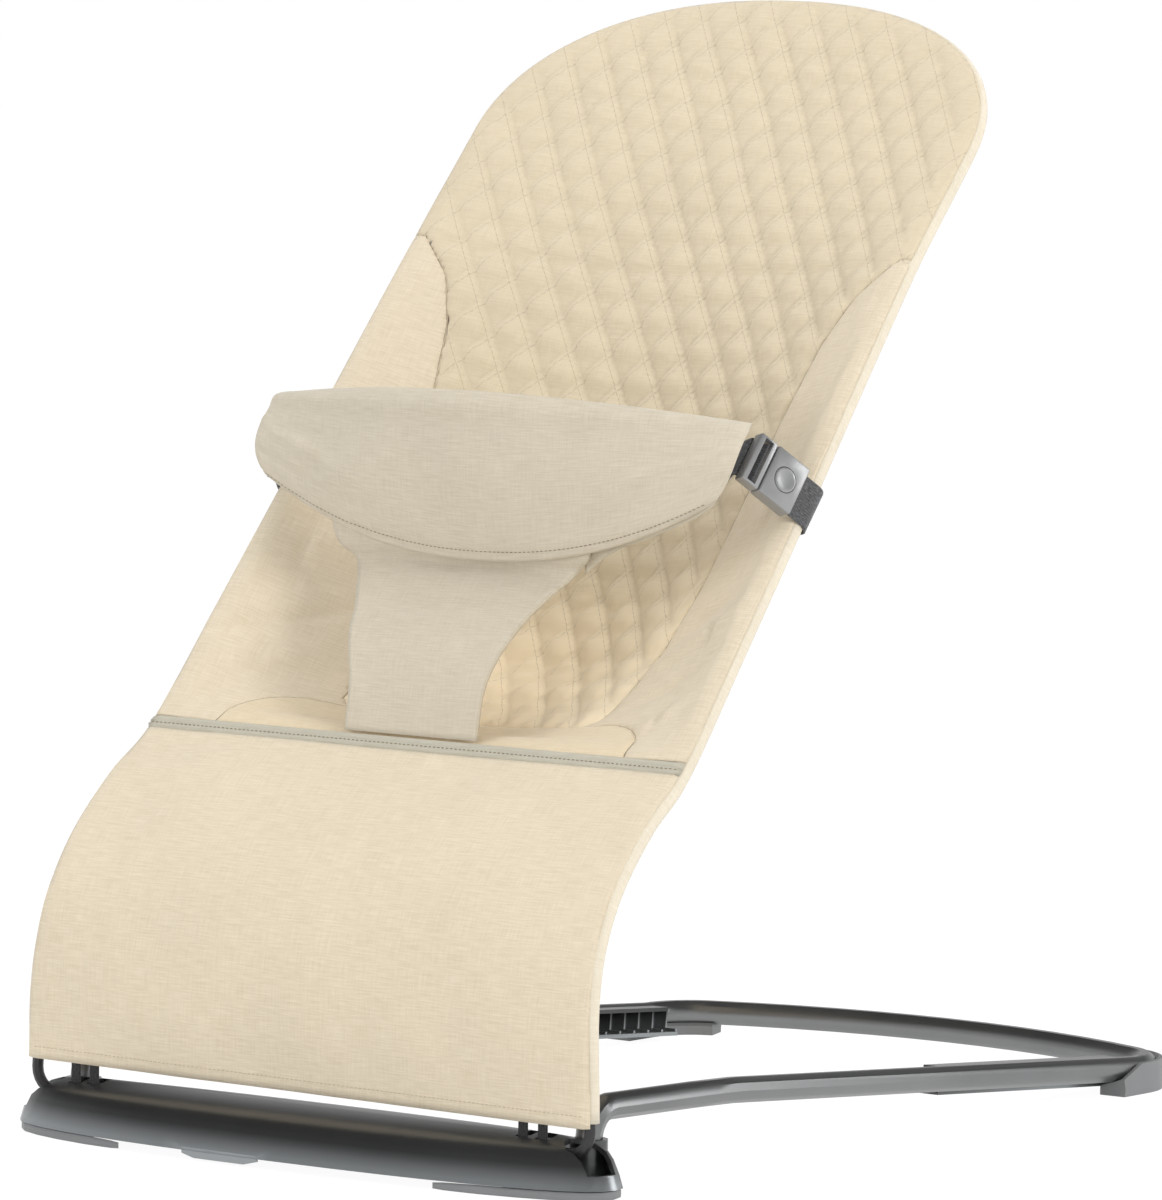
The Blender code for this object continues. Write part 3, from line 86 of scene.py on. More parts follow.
def view_directions(azimuth, elevation, roll):
    """Right, up and back of a camera that looks at the object."""
    back = Vector((math.sin(azimuth) * math.cos(elevation),
                   -math.cos(azimuth) * math.cos(elevation), math.sin(elevation)))
    right = Vector((0, 0, 1)).cross(back).normalized()
    up = back.cross(right)
    turned = right * math.cos(roll) + up * math.sin(roll)
    return turned, up * math.cos(roll) - right * math.sin(roll), back


right, up, back = view_directions(AZIMUTH, ELEVATION, ROLL)
camera_data = bpy.data.cameras.new("camera")
camera_data.lens, camera_data.sensor_width = LENS, SENSOR
camera_data.clip_end = CLIP_FAR
camera = shown_object("camera", camera_data)
turn = Matrix((right, up, back)).transposed().to_4x4()
camera.matrix_world = Matrix.Translation(AIM + back * CAMERA_FAR) @ turn
bpy.context.scene.camera = camera
print("camera at", [round(v, 3) for v in camera.matrix_world.translation])

# %% [markdown]
# Materials, the world and the Geometry Nodes further down are all trees of nodes. These
# helpers keep the trees short to write: one makes a node, sets its sockets, and links any
# socket that is given another node's output. The class holds one Principled material.

# %% Helpers for trees of nodes


def add_node(tree, kind, settings=None, **sockets):
    """A node; sockets take a value or another node's output, spaces written as _."""
    made = tree.nodes.new(kind)
    for key, value in (settings or {}).items():
        setattr(made, key, value)
    for label, value in sockets.items():
        by_number = label[0] == "i" and label[1:].isdigit()
        key = int(label[1:]) if by_number else label.replace("_", " ")
        if isinstance(value, bpy.types.NodeSocket):
            tree.links.new(value, made.inputs[key])
        else:
            made.inputs[key].default_value = value
    return made


def math_node(tree, operation, first, second=0.0, clamp=False):
    """The result of one sum; first and second are values or other nodes' outputs."""
    return add_node(tree, "ShaderNodeMath", {"operation": operation, "use_clamp": clamp},
                    i0=first, i1=second).outputs[0]


class Finish:
    """A Principled material and short ways to add nodes to it."""

    def __init__(self, name, roughness, metallic=0.0, **sockets):
        self.material = bpy.data.materials.new(name)
        self.material.use_nodes = True
        self.tree = self.material.node_tree
        self.shader = self.tree.nodes["Principled BSDF"]
        for label, value in dict(sockets, Roughness=roughness, Metallic=metallic).items():
            self.shader.inputs[label.replace("_", " ")].default_value = value

    def add(self, kind, settings=None, **sockets):
        return add_node(self.tree, kind, settings, **sockets)

    def math(self, operation, first, second=0.0, clamp=False):
        return math_node(self.tree, operation, first, second, clamp)

    def feed(self, label, value):
        """Link a value to one of the shader's own sockets."""
        self.tree.links.new(value, self.shader.inputs[label])

    def ramp(self, value, low, high, low_color, high_color):
        """A colour ramp from low to high."""
        made = self.add("ShaderNodeValToRGB", Fac=value)
        for stop, at, color in zip(made.color_ramp.elements, (low, high), (low_color, high_color)):
            stop.position, stop.color = at, (*color, 1)
        return made.outputs[0]

    def noise(self, vector, scale, detail=2.0, roughness=0.5, stretch=(1, 1, 1)):
        mapped = self.add("ShaderNodeMapping", Vector=vector, Scale=stretch)
        return self.add("ShaderNodeTexNoise", Vector=mapped.outputs[0], Scale=scale, Detail=detail,
                        Roughness=roughness).outputs["Fac"]

    def mix(self, factor, first, second, blend="MIX"):
        """Two colours, each a value or another node's output, mixed by a share."""
        first, second = (c if isinstance(c, bpy.types.NodeSocket) else (*c, 1)
                         for c in (first, second))
        return self.add("ShaderNodeMix", {"data_type": "RGBA", "blend_type": blend}, i0=factor,
                        i6=first, i7=second).outputs[2]

    def bump(self, height, distance, strength=1.0, under=None):
        """Small relief, on top of the relief under it if there is one."""
        made = self.add("ShaderNodeBump", Height=height, Distance=distance, Strength=strength)
        if under is not None:
            self.tree.links.new(under, made.inputs["Normal"])
        self.feed("Normal", made.outputs[0])
        return made.outputs[0]


# %% [markdown]
# Studio light for pale cloth: one wide lamp on the right does most of the work, a weaker
# one on the left opens the shadows, and one behind on the right draws the bright line
# down the cover's edge. A wide lamp overhead lifts what faces up. Disks are used, because
# a round lamp's shadow has the same soft border on every side.

# %% Lamps
LAMPS = [("key", (3.1, -1.0, 1.55), (0, -0.05, 0.28), 1.1, 46.0, (1.0, 0.985, 0.955)),
         ("fill", (-2.0, -3.4, 0.9), (0, -0.05, 0.15), 2.4, 42.0, (1.0, 0.99, 0.975)),
         ("edge", (1.9, 1.7, 1.0), (0.1, 0.0, 0.30), 0.9, 11.0, (1.0, 1.0, 1.0)),
         ("top", (-0.2, 0.1, 2.7), (0, 0.0, 0.2), 1.8, 17.0, (1.0, 0.99, 0.97))]
for name, place, aim, size, power, color in LAMPS:
    lamp = bpy.data.lights.new(name, "AREA")
    lamp.shape, lamp.size, lamp.energy, lamp.color = "DISK", size, power, color
    holder = shown_object(name, lamp)
    holder.location = place
    holder.rotation_euler = (Vector(aim) - Vector(place)).to_track_quat("-Z", "Y").to_euler()
    holder.visible_glossy = name == "edge"
print("lamps and their watts:", {row[0]: row[4] for row in LAMPS})

# %% [markdown]
# The world fills in evenly and looks white to the camera. In reflections it is white at
# the horizon and dark overhead, as in a studio with one low, pale sweep, which gives the
# plastic its dark top and grey flank. The floor is matt white paper. To the camera and in
# reflections most of it glows, so it stays white and still keeps the object's shadow.

# %% World and floor
WORLD_COLOR, WORLD_STRENGTH = (0.98, 0.985, 1.0, 1), 0.62
SWEEP = {"From_Min": 0.02, "From_Max": 0.60, "To_Min": 0.95, "To_Max": 0.05}
PAPER, FLOOR_GLOW, GLOW_SHARE = (0.86, 0.86, 0.86, 1), 1.10, 0.86
FLOOR_HALF = 12.0

bpy.context.scene.view_settings.view_transform = "Standard"
world = bpy.data.worlds.new("studio")
bpy.context.scene.world = world
world.use_nodes = True
sky = world.node_tree
last = sky.nodes["Background"]
last.inputs["Color"].default_value = WORLD_COLOR
last.inputs["Strength"].default_value = WORLD_STRENGTH
rays = add_node(sky, "ShaderNodeLightPath")
facing = add_node(sky, "ShaderNodeTexCoord").outputs["Generated"]
height = add_node(sky, "ShaderNodeSeparateXYZ", i0=facing).outputs[2]
sweep = add_node(sky, "ShaderNodeMapRange", {"interpolation_type": "SMOOTHSTEP"}, Value=height,
                 **SWEEP).outputs[0]
for ray, strength in (("Is Glossy Ray", sweep), ("Is Camera Ray", 1.0)):
    shown = add_node(sky, "ShaderNodeBackground", Color=(1, 1, 1, 1), Strength=strength)
    last = add_node(sky, "ShaderNodeMixShader", i0=rays.outputs[ray], i1=last.outputs[0],
                    i2=shown.outputs[0])
sky.links.new(last.outputs[0], sky.nodes["World Output"].inputs["Surface"])

floor_mesh = bpy.data.meshes.new("studio_floor")
floor_mesh.from_pydata([(x * FLOOR_HALF, y * FLOOR_HALF, 0)
                        for x, y in ((-1, -1), (1, -1), (1, 1), (-1, 1))], [], [(0, 1, 2, 3)])
floor = shown_object("studio_floor", floor_mesh)
floor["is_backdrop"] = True
paper = Finish("white_paper", 0.9, Base_Color=PAPER, Specular_IOR_Level=0.0)
rays = paper.add("ShaderNodeLightPath")
seen = paper.math("MAXIMUM", rays.outputs["Is Camera Ray"], rays.outputs["Is Glossy Ray"])
glow = paper.add("ShaderNodeEmission", Strength=FLOOR_GLOW)
shown = paper.add("ShaderNodeMixShader", i0=paper.math("MULTIPLY", seen, GLOW_SHARE),
                  i1=paper.shader.outputs[0], i2=glow.outputs[0])
paper.tree.links.new(shown.outputs[0], paper.tree.nodes["Material Output"].inputs["Surface"])
floor_mesh.materials.append(paper.material)
print("floor", 2 * FLOOR_HALF, "m wide, world strength", WORLD_STRENGTH)

# %% [markdown]
# The cover is a linen-look polyester: pale threads with thicker and darker ones among them,
# so short streaks run both ways. A flat colour with fine bump would look like paper. Each
# thread direction is a noise stretched about eighteen times, and the two are laid over a
# broad, faint change of tone. The pattern follows the cloth's own UV map, in metres.

# %% Woven cloth
THREADS, STRETCH = 1250.0, 0.055
WEFT_SHARE, TONE_SHARE, FINE_SHARE = 0.64, 0.44, 0.35
WEAVE_DEEP, SEAM_BUMP, SEAM_SHADE_AND_THREAD = 0.00035, 0.0003, 0.56
PAINTED_GLOW_TOP, PAINTED_GLOW_FADE, PAINTED_GLOW_SHARE = 0.41, 0.09, 0.85


def linen(name, base, dark, light, streaks=1.0, broad=0.05, seams=None, deep=None):
    """Woven cloth with streaky threads. Seams draws a quilting pattern of dark thread and painted
    shade, and sinks the cloth; deep is a painted glow, a lighter tone low in the slung seat."""
    cloth = Finish(name, 0.88, Sheen_Weight=0.25, Sheen_Roughness=0.5, Specular_IOR_Level=0.25)
    place = cloth.add("ShaderNodeUVMap", {"uv_map": "cloth"}).outputs[0]
    weft = cloth.noise(place, THREADS, 3.0, 0.62, (STRETCH, 1, 1))
    warp = cloth.noise(place, THREADS, 3.0, 0.62, (1, STRETCH, 1))
    fine = cloth.noise(place, 2.4 * THREADS, 1.0, 0.5)
    both = cloth.math("ADD", cloth.math("MULTIPLY", weft, WEFT_SHARE),
                      cloth.math("MULTIPLY", warp, 1 - WEFT_SHARE))
    spread = 0.13 / streaks
    tone = cloth.ramp(both, 0.5 - spread, 0.5 + spread, dark, light)
    shade = cloth.mix(TONE_SHARE, base, tone)
    area = cloth.noise(place, 14.0, 3.0, 0.55)
    aged = cloth.ramp(area, 0.30, 0.72, (1 - broad,) * 3, (1, 1, 1))
    shade = cloth.mix(1.0, shade, aged, "MULTIPLY")
    # Painted light: low in the seat the colour turns to the lighter, warmer deep tone, which stands
    # in for light shining through the cloth there.
    if deep:
        up = cloth.add("ShaderNodeSeparateXYZ", Vector=place).outputs[1]
        low = cloth.math("DIVIDE", cloth.math("SUBTRACT", PAINTED_GLOW_TOP, up), PAINTED_GLOW_FADE, clamp=True)
        shade = cloth.mix(cloth.math("MULTIPLY", low, PAINTED_GLOW_SHARE), shade, deep)
    height = cloth.math("ADD", both, cloth.math("MULTIPLY", fine, FINE_SHARE))
    under = cloth.bump(height, WEAVE_DEEP, 0.55)
    if seams:
        shade_and_thread = seams(cloth, place)
        # Painted shade and thread: the colour darkens along the quilting lines, partly dark thread,
        # partly painted shade in the groove.
        shade = cloth.mix(shade_and_thread, shade, tuple(v * SEAM_SHADE_AND_THREAD for v in base))
        cloth.bump(cloth.math("SUBTRACT", 1.0, shade_and_thread), SEAM_BUMP, 0.6, under)
    cloth.feed("Base Color", shade)
    return cloth.material


# %% [markdown]
# The quilting is sewn in two slanted families of lines. In the flat pattern each is a set
# of places where x / width plus or minus s / height is a whole number, so a few sums give
# them exactly, and they meet the sewn relief of the mesh below. Along a line the thread
# dips in and out, which shows as dark dashes. Under them a steady darker tone along the
# line is painted shade in the groove.

# %% Quilting lines
QUILT_WIDE, QUILT_TALL = 0.0247, 0.0355
LINE_FROM, LINE_FADE = 0.486, 0.014
DASHES, DASH_GAP, GROOVE_PAINTED_SHADE, DASH_TONE = 330.0, 0.4, 0.28, 0.42


def diamond_lines(cloth, place):
    """How dark the quilting lines are, 0 between them, from the UV map in metres: dashes of
    dark thread over painted shade in the groove.
    """
    parts = cloth.add("ShaderNodeSeparateXYZ", Vector=place)
    across = cloth.math("DIVIDE", parts.outputs[0], QUILT_WIDE)
    along = cloth.math("DIVIDE", parts.outputs[1], QUILT_TALL)
    near = []
    for kind in ("ADD", "SUBTRACT"):
        turns = cloth.math("FRACT", cloth.math(kind, across, along))
        near.append(cloth.math("ABSOLUTE", cloth.math("SUBTRACT", turns, 0.5)))
    line = cloth.math("MAXIMUM", near[0], near[1])
    ridge = cloth.math("DIVIDE", cloth.math("SUBTRACT", line, LINE_FROM), LINE_FADE, clamp=True)
    stitches = cloth.math("FRACT", cloth.math("MULTIPLY", parts.outputs[1], DASHES))
    dash = cloth.math("MULTIPLY", cloth.math("GREATER_THAN", stitches, DASH_GAP), DASH_TONE)
    # The steady tone is painted shade in the groove; the dashes on top of it are thread.
    return cloth.math("MULTIPLY", ridge, cloth.math("ADD", GROOVE_PAINTED_SHADE, dash))


# %% [markdown]
# One cream cloth makes the cover, but not one colour, and the changes are painted light: the
# quilt lies deeper and is painted darker and warmer as shade, the pocket front is painted
# warmer still for light shining through the cloth, and the sleeve, pulled tight, is painted
# paler as a highlight from the lamp behind.
# The flap is greige, and the band is a greener tape. Threads are spun yarn, so they get
# a fine change of tone along them, from Object coordinates.

# %% Cloths and threads
COVER = linen("cover_linen", (0.765, 0.662, 0.495), (0.60, 0.505, 0.36), (0.86, 0.77, 0.62))
# Painted shade: the quilt's base is darker and warmer than the cover's for the shade it lies in;
# its deep tone is a painted glow.
QUILTED = linen("quilted_linen", (0.725, 0.62, 0.445), (0.60, 0.505, 0.35), (0.81, 0.72, 0.555),
                0.75, 0.04, diamond_lines, (0.90, 0.765, 0.55))
# Painted light: the pocket front's warmer colour stands in for light shining through the cloth low
# in the seat.
POCKET = linen("pocket_linen", (0.800, 0.675, 0.470), (0.62, 0.50, 0.33), (0.85, 0.74, 0.56))
GREIGE = linen("flap_linen", (0.635, 0.568, 0.448), (0.505, 0.445, 0.34), (0.735, 0.675, 0.56))
TAPE = linen("band_tape", (0.53, 0.50, 0.405), (0.44, 0.41, 0.33), (0.61, 0.585, 0.49))
# Painted highlight: the sleeve's paler colour stands in for the lamp light that falls on it from
# behind.
EDGE = linen("edge_linen", (0.755, 0.680, 0.535), (0.70, 0.62, 0.48), (0.87, 0.81, 0.69))


def spun(name, roughness, dark, light):
    """Sewing thread with a fine change of tone."""
    yarn = Finish(name, roughness)
    place = yarn.add("ShaderNodeTexCoord").outputs["Object"]
    yarn.feed("Base Color", yarn.ramp(yarn.noise(place, 900.0), 0.3, 0.7, dark, light))
    return yarn.material


THREAD = spun("sewing_thread", 0.7, (0.46, 0.40, 0.29), (0.60, 0.53, 0.41))
DARK_THREAD = spun("seam_thread", 0.75, (0.20, 0.165, 0.11), (0.32, 0.27, 0.19))
print("cloths:", [cloth.name for cloth in (COVER, QUILTED, POCKET, GREIGE, TAPE, EDGE)])

# %% [markdown]
# The webbing is near-black woven tape. Its yarns run along it, so the map is stretched the
# other way from the cloth, and a wave across gives the fine ribs that catch the light.
# The hem's elastic is the same weave, nearly black.

# %% Webbing and elastic


def woven_tape(name, dark, light):
    """Tape with yarns along it and a wave of fine ribs across."""
    tape = Finish(name, 0.62, Sheen_Weight=0.2, Specular_IOR_Level=0.35)
    place = tape.add("ShaderNodeUVMap", {"uv_map": "cloth"}).outputs[0]
    yarn = tape.noise(place, 1500.0, 2.0, 0.5, (1, 0.3, 1))
    cross = tape.add("ShaderNodeTexWave", {"bands_direction": "Y"}, Vector=place, Scale=330.0,
                     Distortion=0.6, Detail=1.0, Detail_Scale=2.0).outputs["Fac"]
    tape.feed("Base Color", tape.ramp(yarn, 0.3, 0.75, dark, light))
    both = tape.math("ADD", tape.math("MULTIPLY", yarn, 0.5), tape.math("MULTIPLY", cross, 0.6))
    tape.bump(both, 0.0003, 0.6)
    return tape.material


WEBBING = woven_tape("strap_webbing", (0.034, 0.034, 0.036), (0.150, 0.153, 0.158))
ELASTIC = woven_tape("hem_elastic", (0.012, 0.012, 0.013), (0.045, 0.045, 0.048))
print("tapes:", WEBBING.name, ELASTIC.name)

# %% [markdown]
# Painted tube, moulded plastic and rubber are all dark grey here. What tells them apart is
# gloss and grain: paint has a faint orange-peel, plastic a fine spark-eroded grain, and
# rubber is duller and a little dusty. The base's moulding is painted paler down its flank,
# a painted reflection of the white floor. Each reads Object coordinates, since the modelled
# nodes have no UV map.

# %% Hard materials
PAINTED_REFLECTION_TOP, PAINTED_REFLECTION_FADE = 0.0175, 0.0100


def grained(name, dark, light, roughness, grain, depth, metallic, painted_reflection=None):
    """Hard surface: broad change of tone, fine grain, slightly uneven gloss, any painted
    reflection.
    """
    hard = Finish(name, roughness, metallic)
    place = hard.add("ShaderNodeTexCoord").outputs["Object"]
    broad = hard.noise(place, 9.0, 3.0, 0.6)
    speck = hard.noise(place, grain, 2.0, 0.55)
    tone = hard.ramp(broad, 0.3, 0.7, dark, light)
    shade = hard.mix(hard.math("MULTIPLY", speck, 0.35), tone, light)
    # Painted reflection: the colour turns paler towards the bottom, standing in for the white floor
    # that the low flank reflects.
    if painted_reflection:
        up = hard.add("ShaderNodeSeparateXYZ", Vector=place).outputs[2]
        low = hard.math("DIVIDE", hard.math("SUBTRACT", PAINTED_REFLECTION_TOP, up), PAINTED_REFLECTION_FADE, clamp=True)
        shade = hard.mix(low, shade, painted_reflection)
    hard.feed("Base Color", shade)
    scuffed = hard.math("ADD", roughness - 0.05, hard.math("MULTIPLY", broad, 0.10))
    hard.feed("Roughness", scuffed)
    hard.bump(speck, depth, 0.5)
    return hard.material


HARD = {
    # The base's paler flank colour is a painted reflection of the floor.
    "base_plastic": grained("moulded_plastic", (0.086, 0.088, 0.088), (0.108, 0.111, 0.112), 0.30,
                            2600.0, 0.00005, 0.80, painted_reflection=(0.300, 0.318, 0.328)),
    "wire_black": grained("black_wire", (0.020, 0.020, 0.021), (0.034, 0.034, 0.036), 0.45,
                          1500.0, 0.00004, 0.1),
    "tube_steel": grained("painted_tube", (0.180, 0.184, 0.186), (0.235, 0.239, 0.241), 0.33,
                          900.0, 0.00004, 0.88),
    "foot_rubber": grained("foot_rubber", (0.190, 0.195, 0.200), (0.250, 0.255, 0.260), 0.50,
                           1800.0, 0.00008, 0.25),
    "grey_plastic": grained("buckle_plastic", (0.290, 0.292, 0.295), (0.360, 0.363, 0.367), 0.34,
                            3200.0, 0.00004, 0.45),
    "screw_steel": grained("screw_steel", (0.30, 0.30, 0.31), (0.42, 0.42, 0.43), 0.32, 1500.0,
                           0.00003, 1.0),
}
print("hard materials:", len(HARD))

# %% [markdown]
# The modelled nodes are made of small flat faces, so a round tube would look faceted. Their
# meshes stay as they are. A live Geometry Nodes tree joins the faces in what is rendered
# and shades across every edge that bends less than a set angle. Each tree here gets named
# inputs for its sizes, and one that makes new shapes ends in real mesh with its material.

# %% Round shading for the modelled nodes


def geometry_tree(name, takes, gives, sizes, finish=False):
    """A Geometry Nodes tree with named inputs, and the outputs of its input node."""
    tree = bpy.data.node_groups.new(name, "GeometryNodeTree")
    made = [(takes, "INPUT", "Geometry", None)]
    made += [(label, "INPUT", "Float", value) for label, value in sizes.items()]
    made += [("Finish", "INPUT", "Material", None)] if finish else []
    made += [(gives, "OUTPUT", "Geometry", None)]
    for label, in_out, kind, value in made:
        socket = tree.interface.new_socket(name=label, in_out=in_out,
                                           socket_type="NodeSocket" + kind)
        if value is not None:
            socket.default_value = value
    return tree, add_node(tree, "NodeGroupInput").outputs


def ended(tree, shape, finish=None):
    """Close a tree; with a finish, what it made becomes real mesh of that material."""
    if finish is not None:
        real = add_node(tree, "GeometryNodeRealizeInstances", i0=shape).outputs[0]
        shape = add_node(tree, "GeometryNodeSetMaterial", Geometry=real, Material=finish).outputs[0]
    add_node(tree, "NodeGroupOutput", i0=shape)
    return tree


def smoothing_tree():
    """Joins a node's faces at their shared corners and shades them round, but for real edges."""
    tree, given = geometry_tree("smooth_but_for_edges", "Part", "Part",
                                {"Join Within": 0.00001, "Sharp Angle": math.radians(36)})
    joined = add_node(tree, "GeometryNodeMergeByDistance", Geometry=given["Part"],
                      Distance=given["Join Within"])
    bend = add_node(tree, "GeometryNodeInputMeshEdgeAngle").outputs["Unsigned Angle"]
    real_edge = add_node(tree, "FunctionNodeCompare",
                         {"data_type": "FLOAT", "operation": "GREATER_THAN"},
                         i0=bend, i1=given["Sharp Angle"])
    shaded = add_node(tree, "GeometryNodeSetMeshNormal", {"mode": "SHARPNESS"},
                      Mesh=joined.outputs[0], Edge_Sharpness=real_edge.outputs[0])
    return ended(tree, shaded.outputs[0])


SMOOTH = smoothing_tree()
HARD_BY_WORD = (("seat_frame", "wire_black"), ("screw", "screw_steel"), ("foot", "foot_rubber"),
                ("shoe", "foot_rubber"), ("buckle", "grey_plastic"), ("bearing", "grey_plastic"),
                ("plate", "base_plastic"), ("rack", "base_plastic"), ("", "tube_steel"))
for node, obj in frame["nodes"].items():
    finish = next(key for word, key in HARD_BY_WORD if word in node)
    obj.data.materials.clear()
    obj.data.materials.append(HARD[finish])
    obj.modifiers.new("shading", "NODES").node_group = SMOOTH
print("hard nodes dressed:", len(frame["nodes"]))

# %% [markdown]
# All the cloth hangs on one bent wire. Its side is a smooth curve through a few measured
# points, so the cover is written in two numbers: x across, and s, the length up that side.
# A third number, behind, goes square to the cloth. Everything sewn is placed with these.
# The first table holds distances behind the hinge and heights, the second heights and half
# the width between the side wires there.

# %% The line of the seat frame
HINGE_Y = next(j for j in frame["joints"] if j["name"] == "seat_recline")["pos_m"][1]
WIRE_R, CLOTH, TUNNEL_GAP = 0.0030, 0.0016, 0.0005
FRONT = WIRE_R + TUNNEL_GAP + CLOTH / 2
SEAT_SIDE = [(0.0, 0.022), (0.0, 0.048), (-0.0005, 0.072), (0.0015, 0.098), (0.009, 0.126),
             (0.026, 0.155), (0.0545, 0.184), (0.0865, 0.2085), (0.137, 0.268), (0.190, 0.3315),
             (0.245, 0.3985), (0.299, 0.463), (0.3345, 0.5025), (0.3755, 0.548), (0.4155, 0.5925)]
HALF_WIDTH = [(0.0, 0.182), (0.07, 0.181), (0.2085, 0.172), (0.34, 0.167), (0.463, 0.162),
              (0.60, 0.161)]
ARCH_HIGH, ARCH_ROUND = 0.099, 2.2
HEM_Z, BAND_Z, BAND_HIGH, QUILT_TOP_Z = 0.0385, 0.2085, 0.008, 0.463


def catmull_rom(points, steps):
    """A smooth line through the points."""
    pts = np.array(points, float)
    ends = np.vstack([2 * pts[0] - pts[1], pts, 2 * pts[-1] - pts[-2]])
    out = []
    for k in range(1, len(ends) - 2):
        p0, p1, p2, p3 = ends[k - 1:k + 3]
        for t in np.linspace(0, 1, steps, endpoint=False):
            out.append(0.5 * (2 * p1 + (p2 - p0) * t + (2 * p0 - 5 * p1 + 4 * p2 - p3) * t * t
                              + (3 * p1 - p0 - 3 * p2 + p3) * t ** 3))
    return np.array(out + [pts[-1]])


def lengths_along(line):
    """The length from the first place of a line to each of its places."""
    return np.append(0.0, np.cumsum(np.linalg.norm(np.diff(line, axis=0), axis=1)))


SIDE_YZ = catmull_rom(SEAT_SIDE, 24) + (HINGE_Y, 0.0)
SIDE_S = np.concatenate([[0], np.cumsum(np.hypot(*np.diff(SIDE_YZ, axis=0).T))])
SIDE_TURN = np.gradient(SIDE_YZ, SIDE_S, axis=0)
TOP_S = float(SIDE_S[-1])
ARCH_S = TOP_S - ARCH_HIGH


def s_at_z(z):
    """The length up the side at a height."""
    return float(np.interp(z, SIDE_YZ[:, 1], SIDE_S))


def half_width(s):
    """Half the distance between the side wires at s."""
    z = np.interp(s, SIDE_S, SIDE_YZ[:, 1])
    return np.interp(z, [p[0] for p in HALF_WIDTH], [p[1] for p in HALF_WIDTH])


def flat_point(x, s, behind=0.0):
    """Places at x across, s up the side and a distance behind the wire, as rows."""
    x, s, behind = np.broadcast_arrays(np.asarray(x, float), s, behind)
    y, z = (np.interp(s, SIDE_S, SIDE_YZ[:, k]) for k in (0, 1))
    ty, tz = (np.interp(s, SIDE_S, SIDE_TURN[:, k]) for k in (0, 1))
    size = np.hypot(ty, tz)
    return np.stack([x, y + tz / size * behind, z - ty / size * behind], axis=-1)


BAND_S, QUILT_TOP_S, HEM_S = s_at_z(BAND_Z), s_at_z(QUILT_TOP_Z), s_at_z(HEM_Z)
print("side length", round(TOP_S, 4), "band at", round(BAND_S, 4))

# %% [markdown]
# Seen flat, the wire is two sides and an arch, a superellipse. Its outline is sampled
# closely once, with the direction that points outwards, so that any place on the cloth can
# ask how far inside the wire it is. How deep the cloth sags up the middle is a short table
# of measures, smoothed so that no crease shows where two of them meet.

# %% The wire's outline and the sag


def wire_outline(count_side=260, count_arch=240):
    """Rows of x, s and the outward direction, from the right foot over the arch to the left."""
    s = np.linspace(0.0, ARCH_S, count_side)
    side = np.stack([half_width(s), s, np.ones_like(s), np.zeros_like(s)], axis=1)
    t = np.linspace(0, math.pi / 2, count_arch)[1:]
    wide = float(half_width(ARCH_S))
    u = np.maximum(np.cos(t), 0.0) ** (2 / ARCH_ROUND)
    v = np.sin(t) ** (2 / ARCH_ROUND)
    nx, ns = u ** (ARCH_ROUND - 1) / wide, v ** (ARCH_ROUND - 1) / ARCH_HIGH
    size = np.hypot(nx, ns)
    arch = np.stack([wide * u, ARCH_S + ARCH_HIGH * v, nx / size, ns / size], axis=1)
    half = np.vstack([side, arch])
    other = half[-2::-1] * (-1, 1, -1, 1)
    return np.vstack([half, other])


WIRE = wire_outline()
SAG_AT = [0.0, 0.012, 0.022, 0.05, 0.09, 0.14, 0.20, 0.28, 0.333, 0.385, 0.45, 0.53]
SAG_BY = [0.0, 0.004, 0.021, 0.043, 0.057, 0.058, 0.049, 0.032, 0.020, 0.009, 0.008, 0.0]
SMOOTH_AT = np.linspace(0, 0.53, 400)
SMOOTH_SAG = np.convolve(np.pad(np.interp(SMOOTH_AT, SAG_AT, SAG_BY), 9, mode="edge"),
                         np.hanning(19) / np.hanning(19).sum(), mode="valid")
print("wire outline", len(WIRE), "places; deepest sag", round(float(SMOOTH_SAG.max()), 4), "m")

# %% [markdown]
# The cover's middle surface is one function of x and s. Inside the wire it lies in front of
# it and sags back by the table above, most in the middle and nothing at the edges. Outside
# it, the cloth rolls round the wire at a constant radius, from the nearest place on it.

# %% The slung surface
ROLL_R, ROLL_MOST = FRONT, math.pi * 1.5
SEAM_TURN = math.radians(38)
ROLL_LONG = ROLL_R * SEAM_TURN


def wire_foot(x, s):
    """Distance inside the wire, its nearest place and the outward direction there."""
    x, s = np.ravel(x), np.ravel(s)
    near = np.empty(len(x), int)
    for start in range(0, len(x), 4000):
        part = slice(start, start + 4000)
        gap = (x[part, None] - WIRE[:, 0]) ** 2 + (s[part, None] - WIRE[:, 1]) ** 2
        near[part] = gap.argmin(axis=1)
    foot = WIRE[near]
    inside = -((x - foot[:, 0]) * foot[:, 2] + (s - foot[:, 1]) * foot[:, 3])
    return inside, foot


def sag_depth(x, s):
    """How far behind the front plane the slung cloth lies."""
    t = s - BAND_S
    u = np.minimum(np.abs(x) / (half_width(s) - 0.007), 1.0)
    wide = float(half_width(ARCH_S)) - 0.0005
    share = np.minimum(np.abs(x) / wide, 1)
    arch = ARCH_S + ARCH_HIGH * (1 - share ** ARCH_ROUND) ** (1 / ARCH_ROUND)
    span = np.maximum(arch - QUILT_TOP_S, 0.001)
    end = 1 - np.clip((s - QUILT_TOP_S) / span, 0, 1) ** 3
    return np.interp(t, SMOOTH_AT, SMOOTH_SAG) * (1 - u * u) * end


